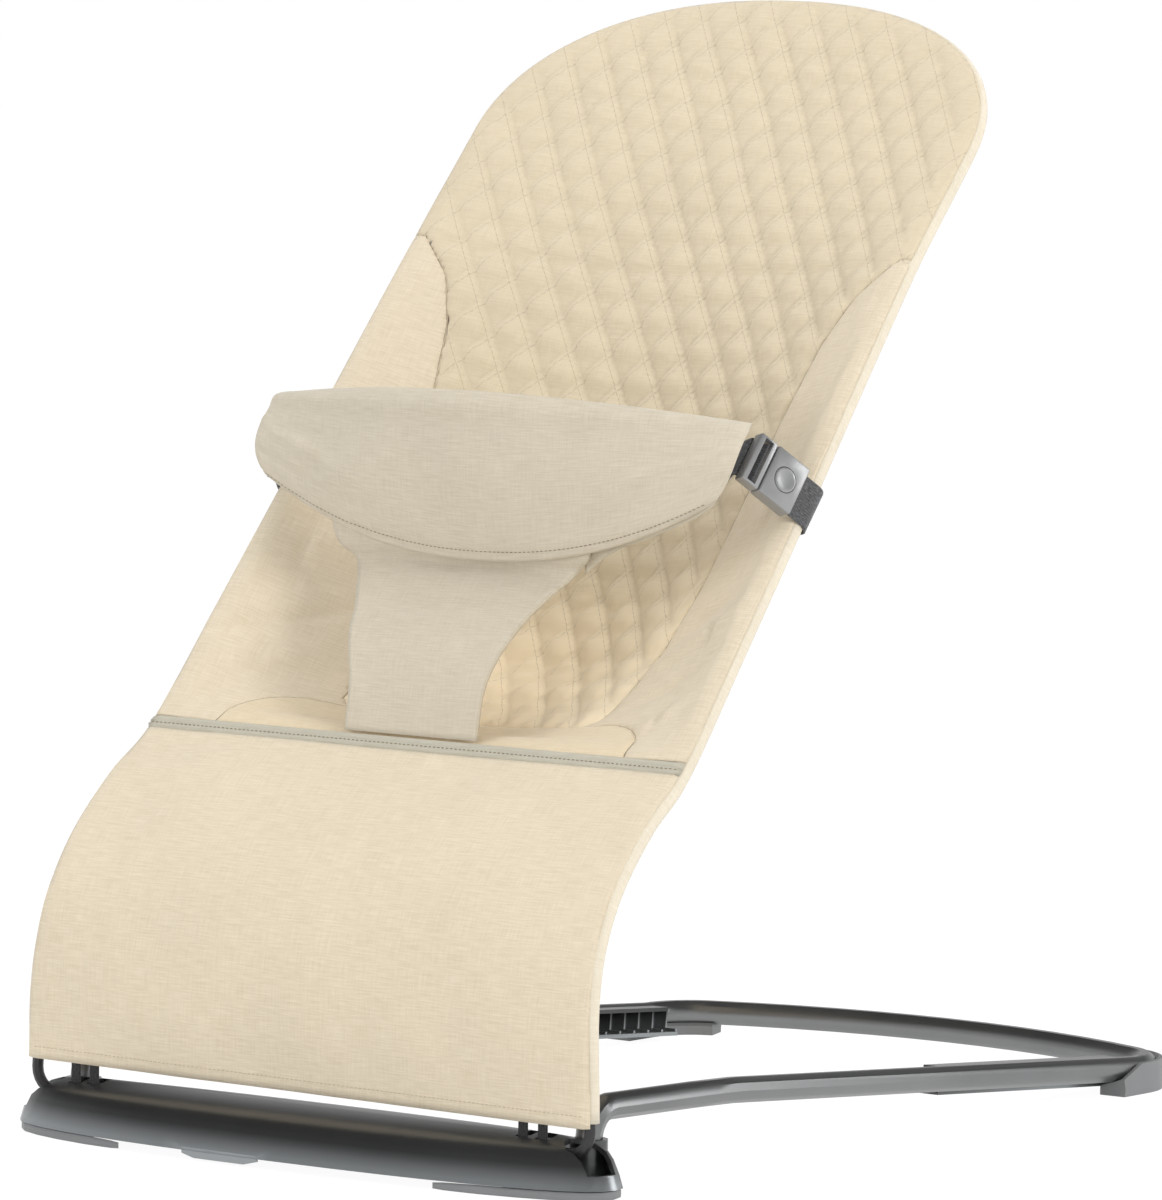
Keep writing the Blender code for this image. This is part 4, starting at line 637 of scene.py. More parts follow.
def cover_point(x, s, extra=0.0, sagging=True):
    """The cover's middle surface; places outside the wire roll round it."""
    x, s = np.ravel(np.asarray(x, float)), np.ravel(np.asarray(s, float))
    inside, foot = wire_foot(x, s)
    depth = sag_depth(x, s) if sagging else 0.0
    flat = flat_point(x, np.minimum(s, TOP_S), depth - FRONT + extra)
    angle = np.clip(-inside / ROLL_R, 0, ROLL_MOST)
    centre = flat_point(foot[:, 0], foot[:, 1])
    behind = flat_point(foot[:, 0], foot[:, 1], 1.0) - centre
    ahead = flat_point(foot[:, 0], np.minimum(foot[:, 1] + 0.001, TOP_S)) - flat_point(
        foot[:, 0], np.minimum(foot[:, 1] + 0.001, TOP_S) - 0.002)
    ahead /= np.linalg.norm(ahead, axis=1)[:, None]
    out = ahead * foot[:, 3:4]
    out[:, 0] += foot[:, 2]
    radius = ROLL_R - extra
    rolled = centre - behind * (radius * np.cos(angle))[:, None] \
        + out * (radius * np.sin(angle))[:, None]
    return np.where((inside < 0)[:, None], rolled, flat)


# %% [markdown]
# Every panel of the cover is cut the way a tailor cuts it: an outline on flat cloth. The
# grid of the panel is laid in (x, s), its cells outside the outline are dropped, and the
# corners that hang over are pulled back to the outline. The quilt's grid has a whole number
# of steps to a diamond, so its stitch lines run exactly through grid points.

# %% Cutting a panel from the flat cloth


def inside_outline(points, outline):
    """Which points lie inside a closed outline."""
    x, y = points[:, 0], points[:, 1]
    hit = np.zeros(len(points), bool)
    for (ax, ay), (bx, by) in zip(outline, np.roll(outline, -1, axis=0)):
        if ay == by:
            continue
        cross = (ay > y) != (by > y)
        hit ^= cross & (x < (bx - ax) * (y - ay) / (by - ay) + ax)
    return hit


def pull_to_outline(points, outline):
    """The nearest place on the outline for each point."""
    best = np.full(len(points), 1e9)
    place = points.copy()
    for a, b in zip(outline, np.roll(outline, -1, axis=0)):
        run = b - a
        size = run @ run
        if size < 1e-14:
            continue
        t = np.clip((points - a) @ run / size, 0, 1)
        spot = a + t[:, None] * run
        far = ((points - spot) ** 2).sum(axis=1)
        closer = far < best
        best[closer] = far[closer]
        place[closer] = spot[closer]
    return place


def grid_faces(rows, columns):
    """The four-cornered faces between rows of points that are numbered row by row."""
    return [(a, a + 1, a + columns + 1, a + columns)
            for a in (j * columns + i for j in range(rows - 1) for i in range(columns - 1))]


def cut_panel(outline, step_x, step_s, start_s):
    """Points (x, s), faces and the boundary flags of a panel's grid."""
    outline = np.array(outline, float)
    low, high = outline.min(axis=0), outline.max(axis=0)
    i = np.arange(math.floor(low[0] / step_x) - 1, math.ceil(high[0] / step_x) + 2)
    j = np.arange(math.floor((low[1] - start_s) / step_s) - 1,
                  math.ceil((high[1] - start_s) / step_s) + 2)
    grid_i, grid_j = np.meshgrid(i, j)
    points = np.stack([grid_i.ravel() * step_x, start_s + grid_j.ravel() * step_s], axis=1)
    inside = inside_outline(points, outline)
    faces = [cell for cell in grid_faces(len(j), len(i)) if inside[list(cell)].any()]
    used = sorted({v for f in faces for v in f})
    place = {v: k for k, v in enumerate(used)}
    faces = [[place[v] for v in f] for f in faces]
    marks = np.stack([grid_i.ravel()[used], grid_j.ravel()[used]], axis=1)
    rim = ~inside[used]
    kept = points[used]
    kept[rim] = pull_to_outline(kept[rim], outline)
    return kept, faces, marks, rim


# %% [markdown]
# Each cut pattern then becomes a mesh at its place on the wire. Its flat pattern stays with
# it as a UV map in metres, so a weave keeps its true size on every piece. Corners that were
# pulled onto each other are merged.


def panel_object(name, flat, faces, places):
    """A mesh of the placed points, with the flat pattern kept as its UV map in metres."""
    bm = bmesh.new()
    verts = [bm.verts.new(p) for p in places]
    cloth_map = bm.loops.layers.uv.new("cloth")
    for face in faces:
        made = bm.faces.new([verts[v] for v in face])
        made.smooth = True
        for loop, v in zip(made.loops, face):
            loop[cloth_map].uv = flat[v]
    mesh = bpy.data.meshes.new(name)
    bm.to_mesh(mesh)
    bm.free()
    return shown_object(name, mesh)


def welded(obj, distance=0.00003):
    """Merge what lies together and drop faces that have no area."""
    bm = bmesh.new()
    bm.from_mesh(obj.data)
    bmesh.ops.remove_doubles(bm, verts=bm.verts, dist=distance)
    bmesh.ops.dissolve_degenerate(bm, edges=bm.edges, dist=distance / 2)
    loose = [v for v in bm.verts if not v.link_faces]
    bmesh.ops.delete(bm, geom=loose, context="VERTS")
    for face in bm.faces:
        face.smooth = True
    bm.to_mesh(obj.data)
    bm.free()


def face_forward(obj, direction):
    """Turn an open sheet so that most of it faces the direction."""
    total = Vector((0, 0, 0))
    for face in obj.data.polygons:
        total += face.normal * face.area
    if total.dot(Vector(direction)) < 0:
        obj.data.flip_normals()


def turned_out(obj):
    """Turn the faces of a round or closed piece outwards."""
    bm = bmesh.new()
    bm.from_mesh(obj.data)
    bmesh.ops.recalc_face_normals(bm, faces=bm.faces)
    bm.to_mesh(obj.data)
    bm.free()


# %% [markdown]
# A sewn piece then gets its thickness, its material and the body it moves with. Modifiers
# such as Solidify are applied at once, which leaves a plain mesh that can be measured and
# that stitches can be laid on.

# %% Thickness, material and body


def applied(obj):
    """Replace the mesh by the evaluated one and drop the modifiers."""
    bpy.context.view_layer.update()
    graph = bpy.context.evaluated_depsgraph_get()
    mesh = bpy.data.meshes.new_from_object(obj.evaluated_get(graph), depsgraph=graph)
    obj.modifiers.clear()
    old, obj.data = obj.data, mesh
    bpy.data.meshes.remove(old)
    mesh.name = obj.name


def thickened(obj, thickness, offset=0.0):
    """Give a sheet its real thickness, half to each side unless the offset says otherwise."""
    wall = obj.modifiers.new("wall", "SOLIDIFY")
    wall.thickness = thickness
    wall.offset = offset
    wall.use_quality_normals = True
    applied(obj)


def dress(obj, material, body, slot=None, *nodes):
    """Give a finished piece its material and body, and hide the nodes it stands for; slot is not
    used.
    """
    obj.data.materials.clear()
    obj.data.materials.append(material)
    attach(obj, body)
    if nodes:
        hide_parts(*nodes)


def on_surface(obj, places, into, lift):
    """Where rays in the direction `into` meet the piece, raised a little from it."""
    mesh = obj.data
    tree = BVHTree.FromPolygons([v.co for v in mesh.vertices], [p.vertices for p in mesh.polygons])
    into = Vector(into).normalized()
    met = [tree.ray_cast(Vector(p) - into * 0.02, into, 0.04)[0] for p in places]
    return [hit - into * lift for hit in met if hit is not None]


# %% [markdown]
# The outlines come next. The quilt is narrow at the bottom of the pocket and reaches the
# full width near the head. A low plain piece, the pocket front, closes the seat above the
# band, and two side panels fill what is left between quilt and wire.

# %% Outlines of the panels
SEAT_FACE, SEAT_BACK, FORWARD = (0.0, -0.77, 0.64), (0.0, 0.77, -0.64), (0, -1, 0)
SIDES = (("left", -1), ("right", 1))
QUILT_EDGE = [(0.0, 0.44), (0.06, 0.52), (0.14, 0.62), (0.23, 0.70), (0.28, 0.76), (0.31, 0.84),
              (0.333, 0.985)]
POCKET_SEAM = [(0.1350, 0.000), (0.1335, 0.006), (0.1325, 0.014), (0.1290, 0.022),
               (0.1200, 0.0300), (0.1080, 0.0355), (0.0930, 0.0380), (0.0760, 0.0385)]
BAND_TOP_S = BAND_S + BAND_HIGH / 2


def quilt_half(s):
    """Half the quilt's width at s."""
    t = s - BAND_S
    share = np.interp(t, [p[0] for p in QUILT_EDGE], [p[1] for p in QUILT_EDGE])
    return half_width(s) * share


SEAM_S = BAND_S + POCKET_SEAM[-1][1]
POCKET_SIDE = [(x, BAND_TOP_S + t * (SEAM_S - BAND_TOP_S) / POCKET_SEAM[-1][1])
               for x, t in catmull_rom(POCKET_SEAM, 6)]
edge_s = np.linspace(SEAM_S, QUILT_TOP_S, 60)
QUILT_SIDE = [(float(quilt_half(s)), float(s)) for s in edge_s]
QUILT_SIDE[0] = (POCKET_SEAM[-1][0], SEAM_S)
rim = WIRE[:, :2] + WIRE[:, 2:] * ROLL_LONG
right_rim = [tuple(p) for p in rim if p[0] > 0 and p[1] > QUILT_TOP_S]
left_rim = [tuple(p) for p in rim if p[0] <= 0 and p[1] > QUILT_TOP_S]
QUILT_OUTLINE = QUILT_SIDE + right_rim + left_rim + [(-x, s) for x, s in reversed(QUILT_SIDE)]
POCKET_OUTLINE = POCKET_SIDE + [(-x, s) for x, s in reversed(POCKET_SIDE)]
side_rim = [tuple(p) for p in rim if p[0] > 0 and BAND_TOP_S < p[1] < QUILT_TOP_S - 0.0002]
SIDE_OUTLINE = POCKET_SIDE[:-1] + QUILT_SIDE + list(reversed(side_rim))
LEG_S = np.linspace(HEM_S, BAND_S - BAND_HIGH / 2, 50)
LEG_OUTLINE = [(float(half_width(s)) + ROLL_LONG, float(s)) for s in LEG_S]
LEG_OUTLINE += [(-x, s) for x, s in reversed(LEG_OUTLINE)]
print("quilt outline", len(QUILT_OUTLINE), "points; side outline", len(SIDE_OUTLINE))

# %% [markdown]
# Cloth never hangs perfectly flat. Soft folds run from the pocket's corners towards the
# wire, and the whole sheet has a slow, shallow unevenness. Both are written as heights
# over the flat pattern: a fold is a ridge along a short line, and noise does the rest.

# %% Folds and unevenness
FOLDS_RIGHT = [((0.160, 0.104), (0.098, 0.084), 0.0034, 0.0060),
               ((0.150, 0.122), (0.100, 0.102), -0.0026, 0.0065),
               ((0.158, 0.078), (0.112, 0.056), -0.0028, 0.0050),
               ((0.155, 0.050), (0.130, 0.030), 0.0022, 0.0055),
               ((0.152, 0.185), (0.112, 0.140), 0.0018, 0.0100),
               ((0.145, 0.230), (0.128, 0.190), -0.0014, 0.0090)]
FOLDS_LEFT = [((-0.162, 0.068), (-0.106, 0.106), -0.0030, 0.0042),
              ((-0.158, 0.054), (-0.112, 0.066), 0.0032, 0.0070),
              ((-0.152, 0.030), (-0.124, 0.048), -0.0022, 0.0055),
              ((-0.158, 0.120), (-0.108, 0.150), 0.0024, 0.0100),
              ((-0.150, 0.185), (-0.120, 0.215), -0.0014, 0.0110)]


def fold_height(x, s, folds):
    """Ridges and valleys along short lines, fading out at their ends. Each fold is two ends
    (x, length up from the band), its height, which is below 0 for a valley, and its width."""
    t = s - BAND_S
    total = np.zeros_like(x)
    for (ax, at), (bx, bt), tall, wide in folds:
        run = np.array([bx - ax, bt - at])
        length = np.hypot(*run)
        run /= length
        along = ((x - ax) * run[0] + (t - at) * run[1]) / length
        off = (x - ax) * -run[1] + (t - at) * run[0]
        fade = np.clip(along + 0.25, 0, 0.5) * np.clip(1.25 - along, 0, 0.5) * 4
        total += tall * np.exp(-(off / wide) ** 2) * np.clip(fade, 0, 1)
    return total


def unevenness(x, s, tall, size, seed):
    """Slow noise over the flat pattern, the same on each run."""
    return tall * np.array([noise.noise(Vector((a / size + seed, b / size - seed, seed)))
                            for a, b in zip(x, s)])


def near_edge(x, s, outline, reach):
    """0 on the outline, rising to 1 at the reach inside it."""
    points = np.stack([x, s], axis=1)
    spot = pull_to_outline(points, np.array(outline, float))
    return np.clip(np.hypot(*(points - spot).T) / reach, 0, 1)


# %% [markdown]
# The side panels and the pocket front are single cloth. Their edges dive a millimetre at
# each seam, as cloth does where two layers are turned back and sewn.

# %% Side panels and the pocket front
SEAM_DIP, SEAM_REACH, FOLD_REACH, UNEVEN_SIZE = 0.0012, 0.0035, 0.012, 0.045
PANEL_STEP = 0.0030
POCKET_FOLD = [((0.11, 0.0165), (-0.11, 0.0165), 0.0022, 0.0028)]


def plain_panel(name, outline, seams, folds, step, seed, uneven=0.0011):
    """A single-cloth panel of the cover as a closed thin sheet."""
    flat, faces, _, _ = cut_panel(outline, step, step, BAND_S)
    x, s = flat.T
    edge = near_edge(x, s, seams, SEAM_REACH)
    dip = SEAM_DIP * (1 - edge) ** 2
    lift = fold_height(x, s, folds) + unevenness(x, s, uneven, UNEVEN_SIZE, seed)
    inside, _ = wire_foot(x, s)
    lift *= np.clip(inside / FOLD_REACH, 0, 1) * edge
    places = cover_point(x, s, dip - lift)
    obj = panel_object(name, flat, faces, places)
    welded(obj)
    face_forward(obj, SEAT_FACE)
    thickened(obj, CLOTH)
    return obj


side_seam = np.array(POCKET_SIDE[:-1] + QUILT_SIDE)
mirrored = [(-x, s) for x, s in reversed(SIDE_OUTLINE)]
panel_right = plain_panel("side_cloth_right", SIDE_OUTLINE, side_seam, FOLDS_RIGHT, PANEL_STEP,
                          3.1)
panel_left = plain_panel("side_cloth_left", mirrored, side_seam * (-1, 1), FOLDS_LEFT,
                         PANEL_STEP, 7.7)
dress(panel_right, COVER, "seat", "cover_cloth", "side_panel_right")
dress(panel_left, COVER, "seat", "cover_cloth", "side_panel_left")
pocket_edge = np.array(POCKET_OUTLINE)
pocket_seam = pocket_edge[pocket_edge[:, 1] > BAND_TOP_S]
pocket_cloth = plain_panel("pocket_cloth", POCKET_OUTLINE, pocket_seam, POCKET_FOLD, PANEL_STEP,
                           5.3, 0.0006)
dress(pocket_cloth, POCKET, "seat", "cover_cloth", "pocket_front")
print("side panels", len(panel_right.data.polygons), "faces each")

# %% [markdown]
# The quilt is two cloths with wadding between them, held down along its stitch lines. That
# is how it is made here as well: the front cloth is pinned on the lines, and a short cloth
# simulation blows the diamonds up between them. The wadding's limit caps how far a point
# may rise. Hand-made bumps instead would give every diamond the same round top.

# %% Blowing up cloth
PRESSURE, SPARE_CLOTH, STIFFNESS, FRAMES = 900.0, 0.065, 5.0, 18


def blown_up(obj, held, cap):
    """Cloth simulation with pressure and spare cloth; held points stay where they are."""
    start = np.array([v.co for v in obj.data.vertices])
    pins = obj.vertex_groups.new(name="pins")
    pins.add([int(k) for k in np.flatnonzero(held)], 1.0, "REPLACE")
    cloth = obj.modifiers.new("cloth", "CLOTH")
    wanted = {"quality": 4, "mass": 0.15, "tension_stiffness": STIFFNESS,
              "compression_stiffness": STIFFNESS, "shear_stiffness": STIFFNESS / 2,
              "bending_stiffness": 0.02, "shrink_min": -SPARE_CLOTH, "air_damping": 4.0,
              "vertex_group_mass": "pins", "use_pressure": True,
              "uniform_pressure_force": PRESSURE}
    for key, value in wanted.items():
        setattr(cloth.settings, key, value)
    cloth.settings.effector_weights.gravity = 0.0
    cloth.point_cache.frame_start, cloth.point_cache.frame_end = 1, FRAMES
    for at in range(1, FRAMES + 1):
        bpy.context.scene.frame_set(at)
    graph = bpy.context.evaluated_depsgraph_get()
    moved = np.array([v.co for v in obj.evaluated_get(graph).data.vertices])
    obj.modifiers.clear()
    obj.vertex_groups.clear()
    bpy.context.scene.frame_set(1)
    shift = moved - start
    far = np.linalg.norm(shift, axis=1)
    soft = cap * np.tanh(far / np.maximum(cap, 1e-6))
    shift *= (soft / np.maximum(far, 1e-9))[:, None]
    obj.data.vertices.foreach_set("co", (start + shift).ravel())
    obj.data.update()
    print(obj.name, "rose by up to", round(float(far.max()) * 1000, 2), "mm before the cap")


# %% [markdown]
# The quilt's points are cut so that the stitch lines fall on them. Those on a line, on the
# rim or on the wire are pinned. The cap is low near the wire, where the cloth is pulled
# tight.

# %% Quilt
QUILT_THICK, QUILT_STEPS = 0.0030, 10
PUFF_CAP, SEAM_DEEP, RIM_REACH = 0.0034, 0.0009, 0.02
flat, faces, marks, rim = cut_panel(QUILT_OUTLINE, QUILT_WIDE / QUILT_STEPS,
                                    QUILT_TALL / QUILT_STEPS, BAND_S)
x, s = flat.T
both_seams = np.array(QUILT_SIDE + [(-a, b) for a, b in reversed(QUILT_SIDE)])
seam_edge = near_edge(x, s, both_seams, 0.004)
inside, _ = wire_foot(x, s)
off_rim = np.clip(inside / RIM_REACH, 0, 1)
base_lift = unevenness(x, s, 0.0016, 0.07, 1.9) * off_rim
steep_line = marks.sum(axis=1) % QUILT_STEPS == 0
flat_line = (marks[:, 0] - marks[:, 1]) % QUILT_STEPS == 0
sewn = SEAM_DEEP * steep_line * off_rim * seam_edge
places = cover_point(x, s, SEAM_DIP * (1 - seam_edge) ** 2 - base_lift + sewn)
quilt = panel_object("quilted_seat", flat, faces, places)
held = steep_line | flat_line | rim | (inside < 0.001)
face_forward(quilt, SEAT_FACE)
puff_cap = PUFF_CAP * (0.30 + 0.70 * np.clip(inside / 0.045, 0, 1))
blown_up(quilt, held, puff_cap)
welded(quilt)
thickened(quilt, QUILT_THICK * 0.6, -0.2)
dress(quilt, QUILTED, "seat", "quilt_cloth", "quilted_panel")
print("quilt", len(quilt.data.polygons), "faces")

# %% [markdown]
# Below the band the cover is one taut cloth down to the hem. It bows a little between the
# side wires, and its bottom edge is turned up and sewn with a single row of stitches.

# %% Leg cloth
LEG_STEP, HEM_DROP, HEM_LEAN = 0.0040, 0.0010, 0.0080
flat, faces, _, _ = cut_panel(LEG_OUTLINE, LEG_STEP, LEG_STEP, HEM_S)
x, s = flat.T
inside, _ = wire_foot(x, s)
hem = np.clip((s - HEM_S) / 0.010, 0, 1)
below_band = np.clip((BAND_S - s) / 0.02, 0, 1)
lift = (unevenness(x, s, 0.0022, 0.11, 4.2) + unevenness(x, s, 0.0007, 0.035, 8.4)) \
    * np.clip(inside / 0.03, 0, 1) * below_band * (0.3 + 0.7 * hem)
dropped = (HEM_DROP + HEM_LEAN * x) * np.clip((BAND_S - s) / (BAND_S - HEM_S), 0, 1)
places = cover_point(x, s, -lift, sagging=False) - np.outer(dropped, (0, 0, 1))
leg_cloth = panel_object("leg_cloth", flat, faces, places)
welded(leg_cloth)
face_forward(leg_cloth, FORWARD)
thickened(leg_cloth, CLOTH)
dress(leg_cloth, COVER, "seat", "cover_cloth", "leg_panel")

# %% [markdown]
# A narrow woven tape covers the seam between seat and leg cloth. A plain strip would look
# like paint, so it gets a cross-section: its edges lie down on the cloth, and it is a
# little hollow along the middle, where its stitches pull it in.

# %% Seam band
BAND_THICK, BAND_COLUMNS = 0.0024, 81
BAND_ROWS = [(-1.0, 0.0005), (-0.8, -0.0008), (-0.3, -0.0013), (0.0, -0.0006),
             (0.3, -0.0013), (0.8, -0.0008), (1.0, 0.0005)]
height, rise = np.repeat(BAND_ROWS, BAND_COLUMNS, axis=0).T
s = BAND_S + height * BAND_HIGH / 2
x = np.tile(np.linspace(-1, 1, BAND_COLUMNS), len(BAND_ROWS)) * (half_width(s) + ROLL_LONG * 0.9)
band = panel_object("band_tape_strip", np.stack([x, s], axis=1),
                    grid_faces(len(BAND_ROWS), BAND_COLUMNS),
                    cover_point(x, s, rise, sagging=False))
face_forward(band, SEAT_FACE)
thickened(band, BAND_THICK * 0.7)
dress(band, TAPE, "seat", "band_cloth", "seam_band")
print("band", round(2 * float(x.max()), 3), "m long")

# %% [markdown]
# Behind the seam on the wire, the cover goes on as a sleeve round the wire's outer side,
# its back and most of its inner side. It follows the same outline, so it is swept: one
# short row of points round the wire at each station. Its first rows lie under the panels.

# %% Sleeve round the wire
SLEEVE_TURNS = np.radians([-30, -8, 14, 26, 37, 42, 54, 66, 82, 98, 116, 134, 152, 170, 186, 202,
                           218, 234, 250])
SLEEVE_UNDER, SLEEVE_OPEN = 0.0008, 0.0001
stations = WIRE[WIRE[:, 1] > HEM_S][::4]
outs = SLEEVE_TURNS * ROLL_R
dips = np.where(SLEEVE_TURNS < SEAM_TURN + math.radians(3), SLEEVE_UNDER, SLEEVE_OPEN)
places = cover_point(stations[:, :1] + stations[:, 2:3] * outs,
                     stations[:, 1:2] + stations[:, 3:] * outs, np.tile(dips, len(stations)))
flat = np.stack(np.meshgrid(outs, lengths_along(stations[:, :2])), axis=-1).reshape(-1, 2)
sleeve = panel_object("edge_sleeve", flat, grid_faces(len(stations), len(outs)), places)
turned_out(sleeve)
thickened(sleeve, CLOTH * 0.9)
dress(sleeve, EDGE, "seat", "cover_cloth", "frame_tunnel")
print("sleeve", len(sleeve.data.polygons), "faces")

# %% [markdown]
# The restraint is a padded flap across the sitter, folded over at its top. Its middle
# surface is a formula in u, from side to side, and v, from its lower edge to its fold. It
# is bowed forwards in its middle, and its ends rise and go back. A formula lets the strap,
# the lining and the webbing lie on the same surface.

# %% The flap's middle surface
FLAP_HALF, FLAP_TALL, FLAP_THICK = 0.1585, 0.09, 0.004
FLAP_LOW_Z, FLAP_END_RISE, FLAP_TOP_Z, FLAP_TOP_DROP = 0.3055, 0.0380, 0.3955, 0.0110
FLAP_NARROWER_TOP, FLAP_NARROWER_LOW = 0.0030, 0.0105
FLAP_MIDDLE, FLAP_LEAN, FLAP_BELLY, FLAP_END, FLAP_END_LEAN = 0.1370, 0.0080, 0.0060, 0.1440, 0.0230


def flap_place(u, v):
    """The flap's middle surface: u from side to side, v from its lower edge to its fold."""
    u, v = np.asarray(u, float), np.asarray(v, float)
    inside = np.clip(v, 0, 1)
    half = FLAP_HALF - FLAP_NARROWER_TOP * inside ** 3 - FLAP_NARROWER_LOW * (1 - inside) ** 4
    centre_y = FLAP_MIDDLE - FLAP_LEAN * v - FLAP_BELLY * np.sin(math.pi * v)
    end_y = FLAP_END + FLAP_END_LEAN * inside ** 2.2
    low_z = FLAP_LOW_Z + FLAP_END_RISE * np.abs(u) ** 2.2
    top_z = FLAP_TOP_Z - FLAP_TOP_DROP * u * u
    return np.stack([half * u, HINGE_Y + centre_y + (end_y - centre_y) * u * u,
                     low_z + (top_z - low_z) * v], axis=-1)


def flap_normal(u, v):
    """Towards the sitter."""
    du = flap_place(u + 0.01, v) - flap_place(u - 0.01, v)
    dv = flap_place(u, v + 0.01) - flap_place(u, v - 0.01)
    normal = np.cross(du, dv)
    normal /= np.linalg.norm(normal, axis=-1)[..., None]
    return np.where(normal[..., 1:2] < 0, -normal, normal)


low_edge, top_edge = flap_place(0.0, 0.0), flap_place(0.0, 1.0)
print("flap's middle: from z", round(float(low_edge[2]), 4), "to", round(float(top_edge[2]), 4))

# %% [markdown]
# The flap's front and back stand off from that surface by a padding that thins to a
# rounded rim. The front also gets the roll of the fold along the top, four folds, the pulls
# that run in from the buckles, small creases at the lower edge and the dent of its stitch
# line. A cloth simulation could do this too. A formula is quicker, and it puts the same few
# folds in the same places.

# %% Restraint flap
FLAP_STITCH_V, STITCH_DENT, TOP_ROLL = 0.058, 0.0012, 0.0022
FLAP_FOLDS = [((0.030, 0.036), (0.072, 0.074), -0.0020, 0.0065),
              ((0.048, 0.032), (0.088, 0.068), 0.0012, 0.0070),
              ((0.006, 0.062), (0.036, 0.084), -0.0015, 0.0055),
              ((-0.118, 0.030), (-0.080, 0.056), -0.0013, 0.0070)]
PULLS = ((0.40, 0.50, 0.055, 0.0013, 0.42), (0.66, -0.10, 0.060, -0.0010, 0.50),
         (0.22, 0.25, 0.045, -0.0009, 0.35))
COLUMNS, ROWS = 121, 41
u, v = np.meshgrid(np.linspace(-1, 1, COLUMNS), np.linspace(0, 1, ROWS))
u, v = u.ravel(), v.ravel()
flat = np.stack([u * FLAP_HALF, v * FLAP_TALL], axis=1)
middle, normal = flap_place(u, v), flap_normal(u, v)
rim_u = np.clip((1 - np.abs(u)) / 0.05, 0, 1)
rim_v = np.clip(np.minimum(v / 0.10, (1 - v) / 0.10), 0, 1)
rim_in = np.sqrt(1 - (1 - rim_u) ** 2) * np.sqrt(1 - (1 - rim_v) ** 2)
dent = STITCH_DENT * np.exp(-((v - FLAP_STITCH_V) / 0.016) ** 2)
soft = unevenness(*flat.T, 0.0016, 0.040, 2.6)
soft += unevenness(*flat.T, 0.0007, 0.012, 6.1) * np.exp(-(v / 0.16) ** 2)
soft += fold_height(flat[:, 0], BAND_S + flat[:, 1], FLAP_FOLDS)
soft += sum(tall * np.exp(-(((v - at - lean * (np.abs(u) - 0.5)) / wide) ** 2))
            * np.clip((np.abs(u) - begin) * 5, 0, 1) for at, lean, wide, tall, begin in PULLS)
roll = TOP_ROLL * np.exp(-((v - 0.90) / 0.07) ** 2)
padding = 0.25 + 0.75 * rim_in
front = middle - normal * (FLAP_THICK / 2 * padding - dent + (soft + roll) * rim_in)[:, None]
behind = middle + normal * ((FLAP_THICK / 2 + roll) * padding)[:, None]
count = len(u)
faces = []
for cell in grid_faces(ROWS, COLUMNS):
    faces += [cell, tuple(count + c for c in reversed(cell))]
numbers = np.arange(count).reshape(ROWS, COLUMNS)
loop = [*numbers[0], *numbers[1:, -1], *numbers[-1, -2::-1], *numbers[-2:0:-1, 0]]
faces += [(b, a, count + a, count + b) for a, b in zip(loop, loop[1:] + loop[:1])]
flap = panel_object("padded_flap", np.vstack([flat, flat]), faces, np.vstack([front, behind]))
turned_out(flap)
dress(flap, GREIGE, "restraint", "flap_cloth", "restraint_flap")
print("flap", len(flap.data.polygons), "faces")

# %% [markdown]
# The strap between the legs is one layer of the flap's cloth. It is wide where it goes up
# behind the flap, narrow at the band, and sewn to both. A few centre places with their half
# widths give its run, and behind the flap each row is bent like the flap's own surface, so
# that the two lie together.

# %% Strap between the legs
CROTCH_THICK, GAP = 0.003, 0.0003
CROTCH = [(0.0925, 0.2420, 0.0440, -0.0040), (0.1030, 0.2630, 0.0505, -0.0065),
          (0.1240, 0.2830, 0.0590, -0.0100)]
CROTCH_HIDDEN = [(-0.07, 0.0008, 0.0720), (0.04, 0.0003, 0.0830), (0.18, 0.0, 0.0860),
                 (0.34, 0.0, 0.0860)]
STRAP_FOLDS = [(0.445, 0.006, 0.020, 0.0015, -0.5, 1.3),
               (0.405, 0.010, 0.018, -0.0011, -0.8, 1.0),
               (0.335, -0.045, 0.018, 0.0013, -1.2, 0.1),
               (0.300, -0.030, 0.018, -0.0008, -1.2, 0.3)]
SHARE_ROWS, V_ROWS = [3 / 7, 4 / 7, 5 / 7, 6 / 7, 1.0], [-0.2, -0.07, 0.04, 0.18, 0.34]


def crotch_rows():
    """Centre places and half widths up the strap, from the band to behind the flap. Rows in
    the open are y from the hinge, z, half width and shift to the side. Hidden ones are v on
    the flap, the distance behind it and half width."""
    start = flat_point(-0.0030, BAND_TOP_S + 0.0018, -0.0052)
    rows = [(start, 0.0430)]
    rows += [(np.array([shift, HINGE_Y + y, z]), half) for y, z, half, shift in CROTCH]
    behind = FLAP_THICK / 2 + GAP + CROTCH_THICK / 2
    for v_at, more, half in CROTCH_HIDDEN:
        at, v_at = np.array([0.0]), np.array([v_at])
        place = flap_place(at, v_at)[0] + flap_normal(at, v_at)[0] * (behind + more)
        rows.append((place + (-0.0125, 0, 0), half))
    return rows


